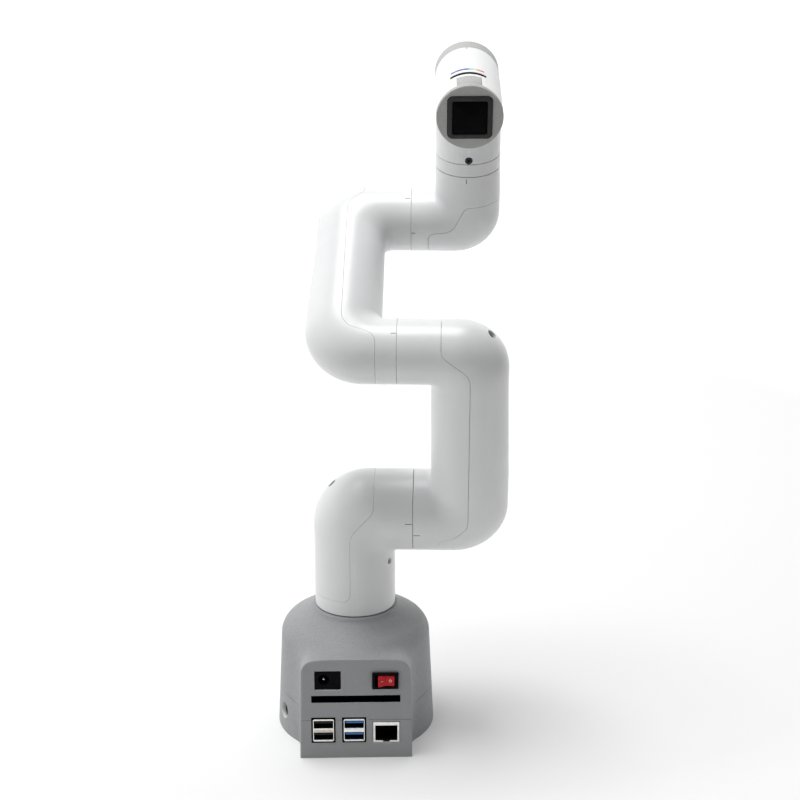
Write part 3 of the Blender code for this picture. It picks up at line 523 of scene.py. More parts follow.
def rod(name, radius, start, end, place, look=None, sides=ROUND_SIDES, edge=0.0):
    """A cylinder along the place's Z, with its two rims chamfered by edge."""
    rims = [(radius, end), (radius, start)]
    if edge:
        rims = [(radius - edge, end), (radius, end - edge)]
        rims += [(radius, start + edge), (radius - edge, start)]
    return turned(name, [(0, end), *rims, (0, start)], place, look, sides)


def rounded(corners, steps=10):
    """Outline points from (x, z, radius) corners, with each rounded corner as an arc."""
    points = []
    for index, (x, z, radius) in enumerate(corners):
        here = Vector((x, z))
        if not radius:
            points.append(here)
            continue
        back = (Vector(corners[index - 1][:2]) - here).normalized()
        ahead = (Vector(corners[(index + 1) % len(corners)][:2]) - here).normalized()
        half = back.angle(ahead) / 2
        centre = here + (back + ahead).normalized() * radius / math.sin(half)
        reach = radius / math.tan(half)
        spoke = here + back * reach - centre
        turn = spoke.angle_signed(here + ahead * reach - centre)
        for step in range(steps + 1):
            points.append(centre + Matrix.Rotation(-turn * step / steps, 2) @ spoke)
    return points


def grown(outline, distance_out):
    """The outline with every side moved out, or in when the distance is negative."""
    pairs = list(zip(outline, outline[1:] + outline[:1]))
    turn = math.copysign(1, sum(a.x * b.y - b.x * a.y for a, b in pairs))
    normals = [Vector((b.y - a.y, a.x - b.x)).normalized() * turn for a, b in pairs]
    moved = []
    for index, here in enumerate(outline):
        before, after = normals[index - 1], normals[index]
        middle = (before + after).normalized()
        moved.append(here + middle * distance_out / middle.dot(after))
    return moved


def prism(name, outline, start, end, place, look=None):
    """An outline in the place's XZ plane, extruded along Y from start to end."""
    bm = bmesh.new()
    near = [bm.verts.new((point[0], start, point[1])) for point in outline]
    far = [bm.verts.new((point[0], end, point[1])) for point in outline]
    bm.faces.new(near)
    bm.faces.new(list(reversed(far)))
    for index in range(len(near)):
        after = (index + 1) % len(near)
        bm.faces.new((near[index], far[index], far[after], near[after]))
    return shown(name, bm, place, look)


def square(half_width, half_height, corner, centre=(0, 0)):
    """A rectangle's outline with rounded corners."""
    corners = [(-half_width, -half_height), (half_width, -half_height)]
    corners += [(half_width, half_height), (-half_width, half_height)]
    return rounded([(centre[0] + x, centre[1] + z, corner) for x, z in corners], steps=6)


def curved_plate(name, low_y, high_y, half_x, inner_r, outer_r, look):
    """A patch of the head's cross tube, on its upper side. half_x is its range along X."""
    bm, rows, steps = bmesh.new(), [], 40
    for radius, y in ((inner_r, low_y), (outer_r, low_y), (outer_r, high_y), (inner_r, high_y)):
        start, end = (math.asin(x / radius) for x in half_x)
        turns = [start + (end - start) * step / steps for step in range(steps + 1)]
        at = [(radius * math.sin(t), y, HEAD_Z + radius * math.cos(t)) for t in turns]
        rows.append([bm.verts.new(point) for point in at])
    for row, following in zip(rows, rows[1:] + rows[:1]):
        for step in range(steps):
            bm.faces.new((row[step], row[step + 1], following[step + 1], following[step]))
    for end in (0, steps):
        bm.faces.new([row[end] for row in rows])
    return shown(name, bm, HEAD, look)


# ---- link shells


def corner_reach(pivot, direction, corner, radius):
    """Distance from pivot along direction to two walls that meet in a rounded corner."""
    side = [math.copysign(1, c - p) for c, p in zip(corner, pivot)]
    walls = [(c - p) / d for c, p, d in zip(corner, pivot, direction) if abs(d) > 1e-6]
    reach = min(length for length in walls if length > 0)
    centre = Vector([c - s * radius for c, s in zip(corner, side)])
    hit = pivot + direction * reach
    if any((h - m) * s <= 0 for h, m, s in zip(hit, centre, side)):
        return reach
    to_centre = centre - pivot
    along = to_centre.dot(direction)
    return along + math.sqrt(radius**2 - to_centre.length_squared + along**2)


def elbow(pivot, inner_radius, corner, radius, turns, depths):
    """Stations fanned about an inner fillet's centre: inner point, outer point and half depth."""
    pivot = Vector(pivot)
    stations = []
    for step in range(ELBOW_STEPS + 1):
        part = step / ELBOW_STEPS
        turn = math.radians(turns[0] + (turns[1] - turns[0]) * part)
        direction = Vector((math.cos(turn), math.sin(turn)))
        reach = corner_reach(pivot, direction, corner, radius)
        eased = part * part * (3 - 2 * part)
        depth = depths[0] + (depths[1] - depths[0]) * eased
        stations.append((pivot + direction * inner_radius, pivot + direction * reach, depth))
    return stations


def round_end(along, into, centre, radius, is_vertical, outward):
    """A link's open round end at a seam, with its chamfer. into is the sign towards the link."""
    stations = []
    for step, ring_radius in ((0, radius - RIM), (RIM, radius)):
        inner = Vector((along + into * step, centre - outward * ring_radius))
        outer = Vector((along + into * step, centre + outward * ring_radius))
        if is_vertical:
            inner, outer = inner.yx, outer.yx
        stations.append((inner, outer, ring_radius))
    return stations


def loft(name, stations, place):
    """An open tube through elliptical rings, one at each station."""
    bm = bmesh.new()
    rings = []
    for inner, outer, depth in stations:
        centre, half = (inner + outer) / 2, (outer - inner) / 2
        ring = []
        for side in range(TUBE_SIDES):
            turn = 2 * math.pi * side / TUBE_SIDES
            at = centre + half * math.cos(turn)
            ring.append(bm.verts.new((at.x, depth * math.sin(turn), at.y)))
        rings.append(ring)
    for ring, following in zip(rings, rings[1:]):
        for side in range(TUBE_SIDES):
            after = (side + 1) % TUBE_SIDES
            bm.faces.new((ring[side], ring[after], following[after], following[side]))
    return shown(name, bm, place, "white_shell")


# Low side, high side and hole radius of the rings that hold a servo and its output horn
SERVO_RING = mm(-3.9, -1.4, 8.3)
HORN_RING = mm(3.5, 6.0, 3.0)


def bulkhead(ring, link, location, angles, tube_radius):
    """A ring across a round end, reaching halfway into its wall."""
    low, high, hole_radius = ring
    outer = tube_radius - WALL / 2
    profile = [(outer, high), (outer, low), (hole_radius, low), (hole_radius, high)]
    return turned("bulkhead", profile, spot(link, location, angles), closed=True)


def tick(name, link, start, end, level, radius, upright=False):
    """A short dark strip of painted shade on a link's -Y side, standing in for an engraved line, from start to end
    in mm along X, or Z if upright.
    """
    half, proud = mm(0.19, 0.03)
    low, high = (start * MM, level - half), (end * MM, level + half)
    if upright:
        low, high = low[::-1], high[::-1]
    corners = (low[0], -radius - proud, low[1]), (high[0], -radius + half, high[1])
    piece(block(name, *corners, PLACES[link], "line_paint"), link, "black_plastic")


def socket_screw(name, seat, top, head_r, length, body):
    """A screw with a chamfered head and a hexagonal socket, its head's top at top."""
    head_h, shank_r, chamfer = mm(1.7, 1.0, 0.25)
    neck = top - head_h
    profile = [
        (0, top), (head_r - chamfer, top), (head_r, top - chamfer), (head_r, neck),
        (shank_r, neck), (shank_r, neck - length + chamfer), (shank_r - chamfer, neck - length),
        (0, neck - length),
    ]
    screw = turned(name + "_finished", profile, seat, "screw_steel", sides=40)
    cut(screw, rod(name + "_socket", head_r * 0.55, top - 1.1 * MM, top + 1 * MM, seat, sides=6))
    piece(screw, body, "screw_steel", name)


def recess(shell, name, seat, head_r):
    """The boss behind a shell's surface and the stepped hole for a screw's head."""
    boss = rod(name + "_boss", head_r + 1.8 * MM, -6.5 * MM, -WALL / 2, seat, sides=40)
    mouth, lip, bottom = head_r + GAP, 0.35 * MM, -4.4 * MM
    profile = [
        (0, 3 * MM), (mouth + lip, 3 * MM), (mouth + lip, -0.1 * MM), (mouth, -0.1 * MM - lip),
        (mouth, bottom), (1.4 * MM, bottom), mm(1.4, -10), (0, -10 * MM),
    ]
    combine(shell, "UNION", boss)
    cut(shell, turned(name + "_hole", profile, seat, sides=40))


def split_shell(link, stations, cover_corners, bulkheads, seam_gap=SEAM_GAP):
    """A link's hollow shell as its frame and its cover."""
    outline = rounded(cover_corners)
    depth = 2 * BIG_R
    place = PLACES[link]
    inside = prism(link + "_cover_cut", grown(outline, -seam_gap / 2), -depth, depth, place)
    outside = prism(link + "_frame_cut", grown(outline, seam_gap / 2), -depth, depth, place)
    shells = []
    for suffix in ("frame", "cover"):
        shell = loft(f"{link}_{suffix}_finished", stations, place)
        wall = shell.modifiers.new("wall", "SOLIDIFY")
        wall.thickness = WALL
        wall.offset = -1
        wall.use_even_offset = True
        shells.append(settle(shell))
    cut(shells[0], outside)
    combine(shells[0], "UNION", *bulkheads)
    combine(shells[1], "INTERSECT", inside)
    return shells


def finish_shells(link, shells):
    for shell, suffix in zip(shells, ("frame", "cover")):
        piece(shell, link, "white_shell", f"{link}_{suffix}")


def build_shoulder():
    inner_r = 2.5 * MM
    pivot = (BIG_R + inner_r, SHOULDER_Z - BIG_R - inner_r)
    corner = (-BIG_R, SHOULDER_Z + BIG_R)
    stations = round_end(SEAM_2 - RUNNING_GAP / 2, -1, SHOULDER_Z, BIG_R, False, 1)
    stations += elbow(pivot, inner_r, corner, 32 * MM, (90, 180), (BIG_R, BIG_R))
    stations += reversed(round_end(SEAM_1 + RUNNING_GAP, 1, 0, BIG_R, True, -1))
    rings = [
        bulkhead(HORN_RING, "shoulder", (0, 0, SEAM_1), (0, 0, 0), BIG_R),
        bulkhead(SERVO_RING, "shoulder", (SEAM_2, 0, SHOULDER_Z), (0, 90, 0), BIG_R),
    ]
    cover = mm(
        (-35, 85.5, 0), (-1.5, 86.5, 5), (-1.5, 128, 12), (12.3, 143, 6), (12.3, 175, 0),
        (-35, 175, 0),
    )
    tick("j2_low_tick", "shoulder", 30.7, 34.8, SHOULDER_Z - 0.2 * MM, BIG_R)
    shells = split_shell("shoulder", stations, cover, rings, 0.13 * MM)
    top_seat = spot("shoulder", mm(-13.5, 0, 152.6), (0, -42, 0))
    side_seat = spot("shoulder", mm(21.5, -10.9, 107.8), (0, 90, -26.9))
    for name, seat, shell, head_r in (
        ("shoulder_top_screw", top_seat, shells[1], 2.6 * MM),
        ("shoulder_side_screw", side_seat, shells[0], 1.5 * MM),
    ):
        recess(shell, name, seat, head_r)
        socket_screw(name, seat, -2.4 * MM, head_r, 9 * MM, "shoulder")
    finish_shells("shoulder", shells)


def build_upper_arm():
    inner_r, inner_x = mm(2.5, 45.4)
    low_pivot = (inner_x - inner_r, BIG_R + inner_r)
    top_pivot = (inner_x - inner_r, UPPER_ARM - SMALL_R - inner_r)
    low_corner = (90.8 * MM, -BIG_R)
    top_corner = (89.0 * MM, UPPER_ARM + SMALL_R)
    stations = round_end(SEAM_2 + RUNNING_GAP / 2, 1, 0, BIG_R, False, -1)
    stations += elbow(low_pivot, inner_r, low_corner, 30 * MM, (-90, 0), (BIG_R, 23.2 * MM))
    stations += elbow(top_pivot, inner_r, top_corner, 28 * MM, (0, 90), (20.5 * MM, SMALL_R))
    stations += reversed(round_end(SEAM_3 + FINE_GAP / 2, 1, UPPER_ARM, SMALL_R, False, 1))
    rings = [
        bulkhead(HORN_RING, "upper_arm", (SEAM_2, 0, 0), (0, 90, 0), BIG_R),
        bulkhead(SERVO_RING, "upper_arm", (SEAM_3, 0, UPPER_ARM), (0, -90, 0), SMALL_R),
    ]
    cover = mm(
        (50.5, -35, 0), (50.5, -5.5, 4), (60, -3, 8), (67.2, 5, 8), (67.2, 107, 10), (51, 119, 5),
        (51, 145, 0), (105, 145, 0), (105, -35, 0),
    )
    tick("j2_high_tick", "upper_arm", 35.6, 39.4, -0.7 * MM, BIG_R)
    shells = split_shell("upper_arm", stations, cover, rings)
    seat = spot("upper_arm", mm(79.3, 0, 123.2), (0, 40, 0))
    recess(shells[1], "upper_arm_top_screw", seat, 2.7 * MM)
    socket_screw("upper_arm_top_screw", seat, *mm(-2.4, 2.7, 9), "upper_arm")
    finish_shells("upper_arm", shells)


def build_forearm():
    low_r, top_r, inner_x = mm(1.5, 6.0, 17.6)
    low_pivot = (inner_x + low_r, SMALL_R + low_r)
    top_pivot = (inner_x + top_r, FOREARM - SMALL_R - top_r)
    top_corner = (-22.6 * MM, FOREARM + SMALL_R)
    low_corner = (-25.2 * MM, -SMALL_R)
    stations = round_end(SEAM_4 - FINE_GAP / 2, -1, FOREARM, SMALL_R, False, 1)
    stations += elbow(top_pivot, top_r, top_corner, 25 * MM, (90, 180), (SMALL_R, 19 * MM))
    stations += elbow(low_pivot, low_r, low_corner, 32 * MM, (180, 270), (20 * MM, SMALL_R))
    stations += reversed(round_end(SEAM_3 - FINE_GAP / 2, -1, 0, SMALL_R, False, -1))
    rings = [
        bulkhead(HORN_RING, "forearm", (SEAM_3, 0, 0), (0, -90, 0), SMALL_R),
        bulkhead(SERVO_RING, "forearm", (SEAM_4, 0, FOREARM), (0, 90, 0), SMALL_R),
    ]
    cover = mm(
        (15, -30, 0), (15, -1, 8), (-4, 5, 10), (-4, 92, 10), (5, 101, 4), (5, 130, 0),
        (-40, 130, 0), (-40, -30, 0),
    )
    tick("j3_tick", "forearm", 23.6, 26.4, -0.9 * MM, SMALL_R)
    tick("j4_low_tick", "forearm", 28.9, 32.2, FOREARM, SMALL_R)
    finish_shells("forearm", split_shell("forearm", stations, cover, rings, 0.16 * MM))


def build_wrist():
    inner_r = 1.5 * MM
    pivot = (46.3 * MM - inner_r, SMALL_R + inner_r)
    corner = (WRIST_X + SMALL_R + 0.4 * MM, -SMALL_R)
    stations = round_end(SEAM_4 + FINE_GAP / 2, 1, 0, SMALL_R, False, -1)
    stations += elbow(pivot, inner_r, corner, 25 * MM, (-90, 0), (SMALL_R, SMALL_R))
    stations += reversed(round_end(SEAM_5 - RUNNING_GAP / 2, -1, WRIST_X, SMALL_R, True, 1))
    rings = [
        bulkhead(HORN_RING, "wrist", (SEAM_4, 0, 0), (0, 90, 0), SMALL_R),
        bulkhead(SERVO_RING, "wrist", (WRIST_X, 0, SEAM_5), (0, 0, 0), SMALL_R),
    ]
    cover = mm(
        (42.5, -30, 0), (42.5, -0.5, 4), (56, 0.5, 9), (64, 16.2, 4), (95, 16.6, 0), (95, -30, 0),
    )
    tick("j4_high_tick", "wrist", 33, 35, 0.2 * MM, SMALL_R)
    tick("j5_tick", "wrist", 31.6, 34.2, WRIST_X - 0.7 * MM, SMALL_R, upright=True)
    finish_shells("wrist", split_shell("wrist", stations, cover, rings, 0.2 * MM))


# ---- head and tool flange


def head_tubes(name, radius, bottom, front, back, look=None):
    """An upright tube and the cross tube on top of it."""
    slimmer = radius - TANGENT_STEP
    upright = rod(name, slimmer, bottom, HEAD_Z, HEAD, look, TUBE_SIDES)
    cross = rod(name + "_cross", radius, front, back, HEAD_AXIS, sides=TUBE_SIDES, edge=RIM)
    return upright, cross


def head_shell():
    front, back = CAP_FRONT_Y + CAP_T, SEAM_6 - RUNNING_GAP / 2
    name, low = "head_shell_finished", COLLAR_TOP_Z + GAP / 2
    shell, cross = head_tubes(name, SMALL_R, low, front + GAP / 2, back, "white_shell")
    combine(shell, "UNION", cross)
    hollow, across = head_tubes("head_hollow", SMALL_R - WALL, *mm(40, -40, 50))
    cut(shell, combine(hollow, "UNION", across))
    for name, low_y, high_y, low_x, high_x in HEAD_INSETS:
        low_corner = (low_x - GAP / 2, low_y - GAP / 2, HEAD_Z)
        high_corner = (high_x + GAP / 2, high_y + GAP / 2, HEAD_Z + 25 * MM)
        cut(shell, block(name + "_opening", low_corner, high_corner, HEAD))
    seam = (0, SEAM_6, HEAD_Z)
    combine(shell, "UNION", bulkhead(SERVO_RING, "head", seam, (-90, 0, 0), SMALL_R))
    cut(shell, rod("head_screw_hole", *mm(2.2, -3, 3), HEAD_SCREW, sides=40))
    piece(shell, "head", "white_shell", "head_shell")
    # The j6 tick: a dark strip of painted shade standing in for an engraved line.
    top = HEAD_Z + SMALL_R
    corners = (-0.7 * MM, 30.3 * MM, top - 0.2 * MM), (-0.3 * MM, 32.5 * MM, top + 0.03 * MM)
    piece(block("j6_tick", *corners, HEAD, "line_paint"), "head", "black_plastic")


HEAD_INSETS = (
    ("head_port_cover", *mm(-21.3, -10.6, -7.0, 6.4)),
    ("head_pin_strip", *mm(-7.6, -4.8, -10.4, 9.2)),
)


def head_top():
    """The port cover, the pin strip and the printed strip on top of the head."""
    inner = SMALL_R - WALL
    for inset, slot, sunk in zip(HEAD_INSETS, ("grey_cap", "black_plastic"), (0.0, 0.15 * MM)):
        name, low_y, high_y, *span_x = inset
        outer = SMALL_R - sunk
        plate = curved_plate(name + "_finished", low_y, high_y, span_x, inner, outer, slot)
        soften(plate, 0.12)
        piece(plate, "head", slot, name)
    span_y, span_x = mm((-1.4, 0.5), (-10.2, 8.4))
    radii = SMALL_R - 0.1 * MM, SMALL_R + 0.04 * MM
    strip = curved_plate("printed_strip", *span_y, span_x, *radii, "print_strip")
    piece(strip, "head", "black_plastic")


def head_collar():
    bottom, top = SEAM_5 + RUNNING_GAP / 2, COLLAR_TOP_Z - GAP / 2
    spigot, spigot_top = SMALL_R - WALL - GAP, 52 * MM
    ring_low, ring_high, hole_r = SEAM_5 + HORN_RING[0], SEAM_5 + HORN_RING[1], HORN_RING[2]
    profile = [
        (SMALL_R - RIM, top), (SMALL_R, top - RIM), (SMALL_R, bottom + RIM),
        (SMALL_R - RIM, bottom), (SMALL_R - WALL, bottom), (SMALL_R - WALL, ring_low),
        (hole_r, ring_low), (hole_r, ring_high), (spigot - WALL, ring_high),
        (spigot - WALL, spigot_top), (spigot, spigot_top), (spigot, top),
    ]
    sides = TUBE_SIDES
    collar = turned("head_collar_finished", profile, HEAD, "white_shell", sides, True)
    cut(collar, rod("head_screw_pilot", *mm(1.4, -8, 3), HEAD_SCREW, sides=32))
    piece(collar, "head", "white_shell", "head_collar")
    socket_screw("head_screw", HEAD_SCREW, *mm(-0.5, 1.9, 4.2), "head")


def head_square(name, half_width, corner, start, end, look=None):
    """A square prism on the head's front, sized in millimetres."""
    outline = square(half_width * MM, half_width * MM, corner * MM, (0, HEAD_Z))
    return prism(name, outline, start, end, HEAD, look)


def front_cap():
    """The grey cap, the screen's bezel and its glass."""
    outside, back = -40 * MM, CAP_FRONT_Y + CAP_T - GAP / 2
    rim = 0.3 * MM
    name = "front_cap_finished"
    cap = rod(name, SMALL_R, CAP_FRONT_Y, back, HEAD_AXIS, "grey_cap", TUBE_SIDES, rim)
    cut(cap, head_square("bezel_opening", 12.5, 3, outside, 0))
    piece(cap, "head", "grey_cap", "head_front_cap")
    face = CAP_FRONT_Y - 0.8 * MM
    bezel = head_square("screen_bezel_finished", 12.2, 3, face, face + 10 * MM, "dark_bezel")
    cut(bezel, head_square("screen_well", 9.75, 1.2, outside, face + 6 * MM))
    soften(bezel, 0.25)
    piece(bezel, "head", "dark_bezel", "screen_bezel")
    top = face + 0.4 * MM
    glass = head_square("screen_glass", 9.5, 1, top, top + 3.6 * MM, "screen_black")
    soften(glass, 0.18)
    piece(glass, "screen_button", "screen_black", "screen_button")


def tool_flange():
    """The flange with its four pin holes, seen from behind."""
    start, end = RUNNING_GAP / 2, 9.6 * MM
    edge, dish_r = mm(0.35, 5.0)
    place = PLACES["tool_flange"]
    profile = [
        (0, end), (dish_r, end), (dish_r + 0.2 * MM, end - 0.25 * MM),
        (dish_r + 0.8 * MM, end - 0.25 * MM), (dish_r + 1.0 * MM, end), (SMALL_R - edge, end),
        (SMALL_R, end - edge), (SMALL_R, start + RIM), (SMALL_R - RIM, start),
        (SMALL_R - WALL, start), (SMALL_R - WALL, HORN_RING[0]), (0, HORN_RING[0]),
    ]
    flange = turned("tool_flange_finished", profile, place, "grey_cap", TUBE_SIDES)
    holes = []
    hole_ring_r = 11.3 * MM
    hole = mm((0, 2), (3.1, 2), (3.1, -0.6), (2.4, -0.9), (2.4, -5), (0, -5))
    for index in range(4):
        turn = math.radians(45 + 90 * index)
        centre = (hole_ring_r * math.cos(turn), hole_ring_r * math.sin(turn), end)
        at = place @ Matrix.Translation(centre)
        holes.append(turned(f"flange_hole_{index}", hole, at, sides=40))
    cut(flange, *holes)
    piece(flange, "tool_flange", "grey_cap", "tool_flange")


# ---- base


def rounded_max(first, second, radius):
    """Where two half spaces overlap, with the edge between them rounded."""
    a, b = first + radius, second + radius
    outside = np.hypot(np.maximum(a, 0), np.maximum(b, 0))
    return np.minimum(np.maximum(a, b), 0) + outside - radius


def blended_min(first, second, reach):
    """Two solids joined, with the valley between them filled over a reach."""
    share = np.maximum(reach - np.abs(first - second), 0) / reach
    return np.minimum(first, second) - share * share * reach / 4


def dome_field(out, up):
    """Signed distance, about, to the dome at a distance out from its axis and a height up.

    Its wall and slope are straight, each given by its unit normal and a point on it.
    """
    wall = 0.9988 * (out - BASE_R) + 0.0491 * up
    slope = 0.5029 * (out - 39.5 * MM) + 0.8643 * (up - 67.2 * MM)
    neck = out - 25.2 * MM
    body = blended_min(rounded_max(wall, slope, 4.8 * MM), neck, 3.5 * MM)
    return rounded_max(body, up - BASE_TOP_Z, 0.5 * MM)


def block_field(x, y, up):
    """Signed distance, about, to the port block, whose top is slightly crowned."""
    crown = 63.9 * MM - 1.2 * MM * (x / (30 * MM)) ** 2
    half = 33.0 * MM - 1.3 * MM * up / (63.5 * MM)
    section = rounded_max(np.abs(x) - half, up - crown, 7.5 * MM)
    face = rounded_max(section, PORT_FACE_Y - y, 0.7 * MM)
    return np.maximum(face, y + 10 * MM)


def base_field(points):
    x, y, up = points.T
    reach = np.clip(0.3 * up, *mm(3, 9))  # the valley is narrow at the floor
    body = blended_min(dome_field(np.hypot(x, y), up), block_field(x, y, up), reach)
    return np.maximum(body, BELOW - up)


def base_form():
    """The dome and the port block as one blended solid, a little longer below the floor."""
    wide = 47.9 * MM
    profile = [
        (0, BASE_TOP_Z), (25 * MM, BASE_TOP_Z), mm(27, 74.5), mm(39.5, 67.2),
        mm(43.6, 63), mm(44.7, 58.6), (wide, BELOW), (0, BELOW),
    ]
    form = turned("base_form", profile, BASE, "grey_base", sides=160)
    low, high = Vector((-33 * MM, PORT_FACE_Y, BELOW)), Vector(mm(33, -10, 63.5))
    combine(form, "UNION", block("block_form", low, high, BASE))
    remesh = form.modifiers.new("voxels", "REMESH")
    remesh.mode = "VOXEL"
    remesh.voxel_size = BASE_VOXEL
    settle(form)
    points = np.empty(len(form.data.vertices) * 3)
    form.data.vertices.foreach_get("co", points)
    points = points.reshape(-1, 3)
    form.data.vertices.foreach_set("co", onto_surface(points).ravel())
    return form


def onto_surface(points):
    """Moves points along the field's slope until they lie on the blended surface."""
    points = points.copy()
    step = 0.05 * MM
    for _ in range(6):
        slope = np.empty_like(points)
        for axis in range(3):
            shift = np.zeros(3)
            shift[axis] = step
            slope[:, axis] = (base_field(points + shift) - base_field(points - shift)) / (2 * step)
        length = np.maximum((slope**2).sum(1), 0.05)
        move = slope * (base_field(points) / length)[:, None]
        points -= np.clip(move, *mm(-1, 1))
    return points


def across(x, half, low, high):
    """A box's corners from its middle and half width in X and its corners' (y, z)."""
    return (x - half, *low), (x + half, *high)


def port_openings():
    """Cutters through the port face, one for each connector."""
    front, back = PORT_FACE_Y - 5 * MM, PORT_FACE_Y + 5 * MM
    nodes = ("usb_2_sockets", "usb_3_sockets", "ethernet_jack", "dc_power_jack")
    boxes = [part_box(node) for node in nodes]
    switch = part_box("power_switch_case")
    openings = ((switch[0].x + switch[1].x) / 2, 6.8, 45.8, 54.8), (0, 25.7, 36.35, 40.35)
    for x, half, low_z, high_z in openings:
        corners = across(x, half * MM, (0, low_z * MM), (0, high_z * MM))
        boxes.append([Vector(corner) for corner in corners])
    cutters = []
    for index, (low, high) in enumerate(boxes):
        low, high = (low.x - GAP, front, low.z - GAP), (high.x + GAP, back, high.z + GAP)
        cutters.append(block(f"port_opening_{index}", low, high, BASE))
    return cutters


def base_hollow():
    """The space inside the base with all its openings, as one cutter."""
    inset = BASE_WALL
    profile = [
        (0, BASE_TOP_Z - 3 * MM), (24 * MM, BASE_TOP_Z - 3 * MM), mm(38, 65),
        mm(42.2, 58.6), (BASE_R - inset, 0), (BASE_R - inset, -5 * MM), (0, -5 * MM),
    ]
    hollow = turned("dome_hollow", profile, BASE, sides=120)
    half, top = 33.0 * MM - inset, 63.5 * MM - inset
    corners = [(-half, -6 * MM, 0), (half, -6 * MM, 0)]
    corners += [(half - 1.3 * MM, top, 6.2 * MM), (1.3 * MM - half, top, 6.2 * MM)]
    front = PORT_FACE_Y + inset
    room = prism("block_hollow", rounded(corners), front, -10 * MM, BASE)
    hub = rod("hub_hole", SERVO_RING[2], *mm(70, 80), BASE)
    side = rod("side_lock_hole", *mm(5.2, 40, 52), SIDE_LOCK)
    return combine(hollow, "UNION", room, hub, side, *port_openings())


def build_housing():
    """The upper housing and the lower tray, parted at the seam."""
    form, hollow = base_form(), base_hollow()
    wide, half_gap = 60 * MM, SEAM_GAP / 2
    for name, low, high in (
        ("base_upper_housing", BASE_SEAM_Z + half_gap, 90 * MM),
        ("base_lower_tray", 0.0, BASE_SEAM_Z - half_gap),
    ):
        half = added(name + "_finished", form.data.copy())
        slab = block(name + "_keep", (-wide, -wide, low), (wide, wide, high), BASE)
        combine(half, "INTERSECT", slab)
        cut(half, added(name + "_cutter", hollow.data))
        piece(half, "base", "grey_base", name, angle=40)
    bpy.data.objects.remove(form)
    bpy.data.objects.remove(hollow)


def framed(name, outer, inner, start, end):
    """A flat dark frame between two outlines, facing -Y."""
    rim = prism(name, outer, start, end, BASE, "socket_dark")
    cut(rim, prism(name + "_hole", inner, start - 1 * MM, end + 1 * MM, BASE))
    piece(rim, "base", "black_plastic")


def lined(name, room, throat, look):
    """The dark lining of a socket, between two boxes."""
    lining = block(name + "_lining", *room, BASE, look)
    cut(lining, block(name + "_throat", *throat, BASE))
    piece(lining, "base", "black_plastic")


def box_piece(name, corners, look, slot, edge=0.0):
    piece(block(name, *corners, BASE, look, edge), "base", slot)


def usb_socket(name, x, reach, low_z, high_z, front, looks):
    """One opening's dark lining, its tongue and its contacts."""
    lining_look, tongue_look = looks
    start, back, lip = front + 0.5 * MM, front + 11.9 * MM, 0.35 * MM
    room = across(x, reach, (start, low_z), (back, high_z))
    throat = across(x, reach - lip, (front, low_z + lip), (back - 1.4 * MM, high_z - lip))
    lined(name, room, throat, lining_look)
    top, end = high_z - 0.8 * MM, back - 1.5 * MM
    tongue = across(x, reach - 0.5 * MM, (front + 0.7 * MM, top - 1.2 * MM), (end, top))
    box_piece(name + "_tongue", tongue, tongue_look, "black_plastic", 0.15 * MM)
    low, high = (front + 1.4 * MM, top - 1.3 * MM), (front + 8 * MM, top - 1.18 * MM)
    for index in range(4):
        contact = across(x + (index - 1.5) * 2.2 * MM, 0.5 * MM, low, high)
        box_piece(f"{name}_contact_{index}", contact, "contact_gold", "port_steel")


def usb_ports(node, looks, band_look):
    """Two sockets in one steel case, with a dark frame round the case that is painted shade for the gap round it,
    and a band between the sockets.
    """
    low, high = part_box(node)
    middle, half = (low + high) / 2, (high - low) / 2
    centre, front = (middle.x, middle.z), low.y
    edge, bar, half_opening = mm(0.7, 0.42, 2.45)
    outline = square(half.x - edge, half.z - edge, 1.0 * MM, centre)
    case = prism(node + "_case", outline, front, high.y, BASE, "port_steel")
    reach = half.x - edge - bar
    openings = []
    for rise in mm(4.2, 11.7):
        low_z, high_z = low.z + rise - half_opening, low.z + rise + half_opening
        openings.append((low_z, high_z))
        hole = across(middle.x, reach, (front - 1 * MM, low_z), (front + 12 * MM, high_z))
        cut(case, block(node + "_slot", *hole, BASE))
    soften(case, 0.12)
    piece(case, "base", "port_steel", node)
    # The dark frame round the case is painted shade, standing in for the shadow in the gap between the housing and
    # the case.
    outer = square(half.x + 0.15 * MM, half.z + 0.15 * MM, 0.4 * MM, centre)
    inner = square(half.x - edge + 0.05 * MM, half.z - edge + 0.05 * MM, 1.0 * MM, centre)
    start = front + 0.1 * MM
    framed(node + "_surround", outer, inner, start, start + 2.5 * MM)
    for level, heights in enumerate(openings):
        usb_socket(f"{node}_{level}", middle.x, reach, *heights, front, looks)
    band_low = (front - 0.04 * MM, openings[0][1] + 0.15 * MM)
    band_high = (front + 0.6 * MM, openings[1][0] - 0.9 * MM)
    band = across(middle.x, reach, band_low, band_high)
    box_piece(node + "_band", band, band_look, "port_steel", 0.08 * MM)


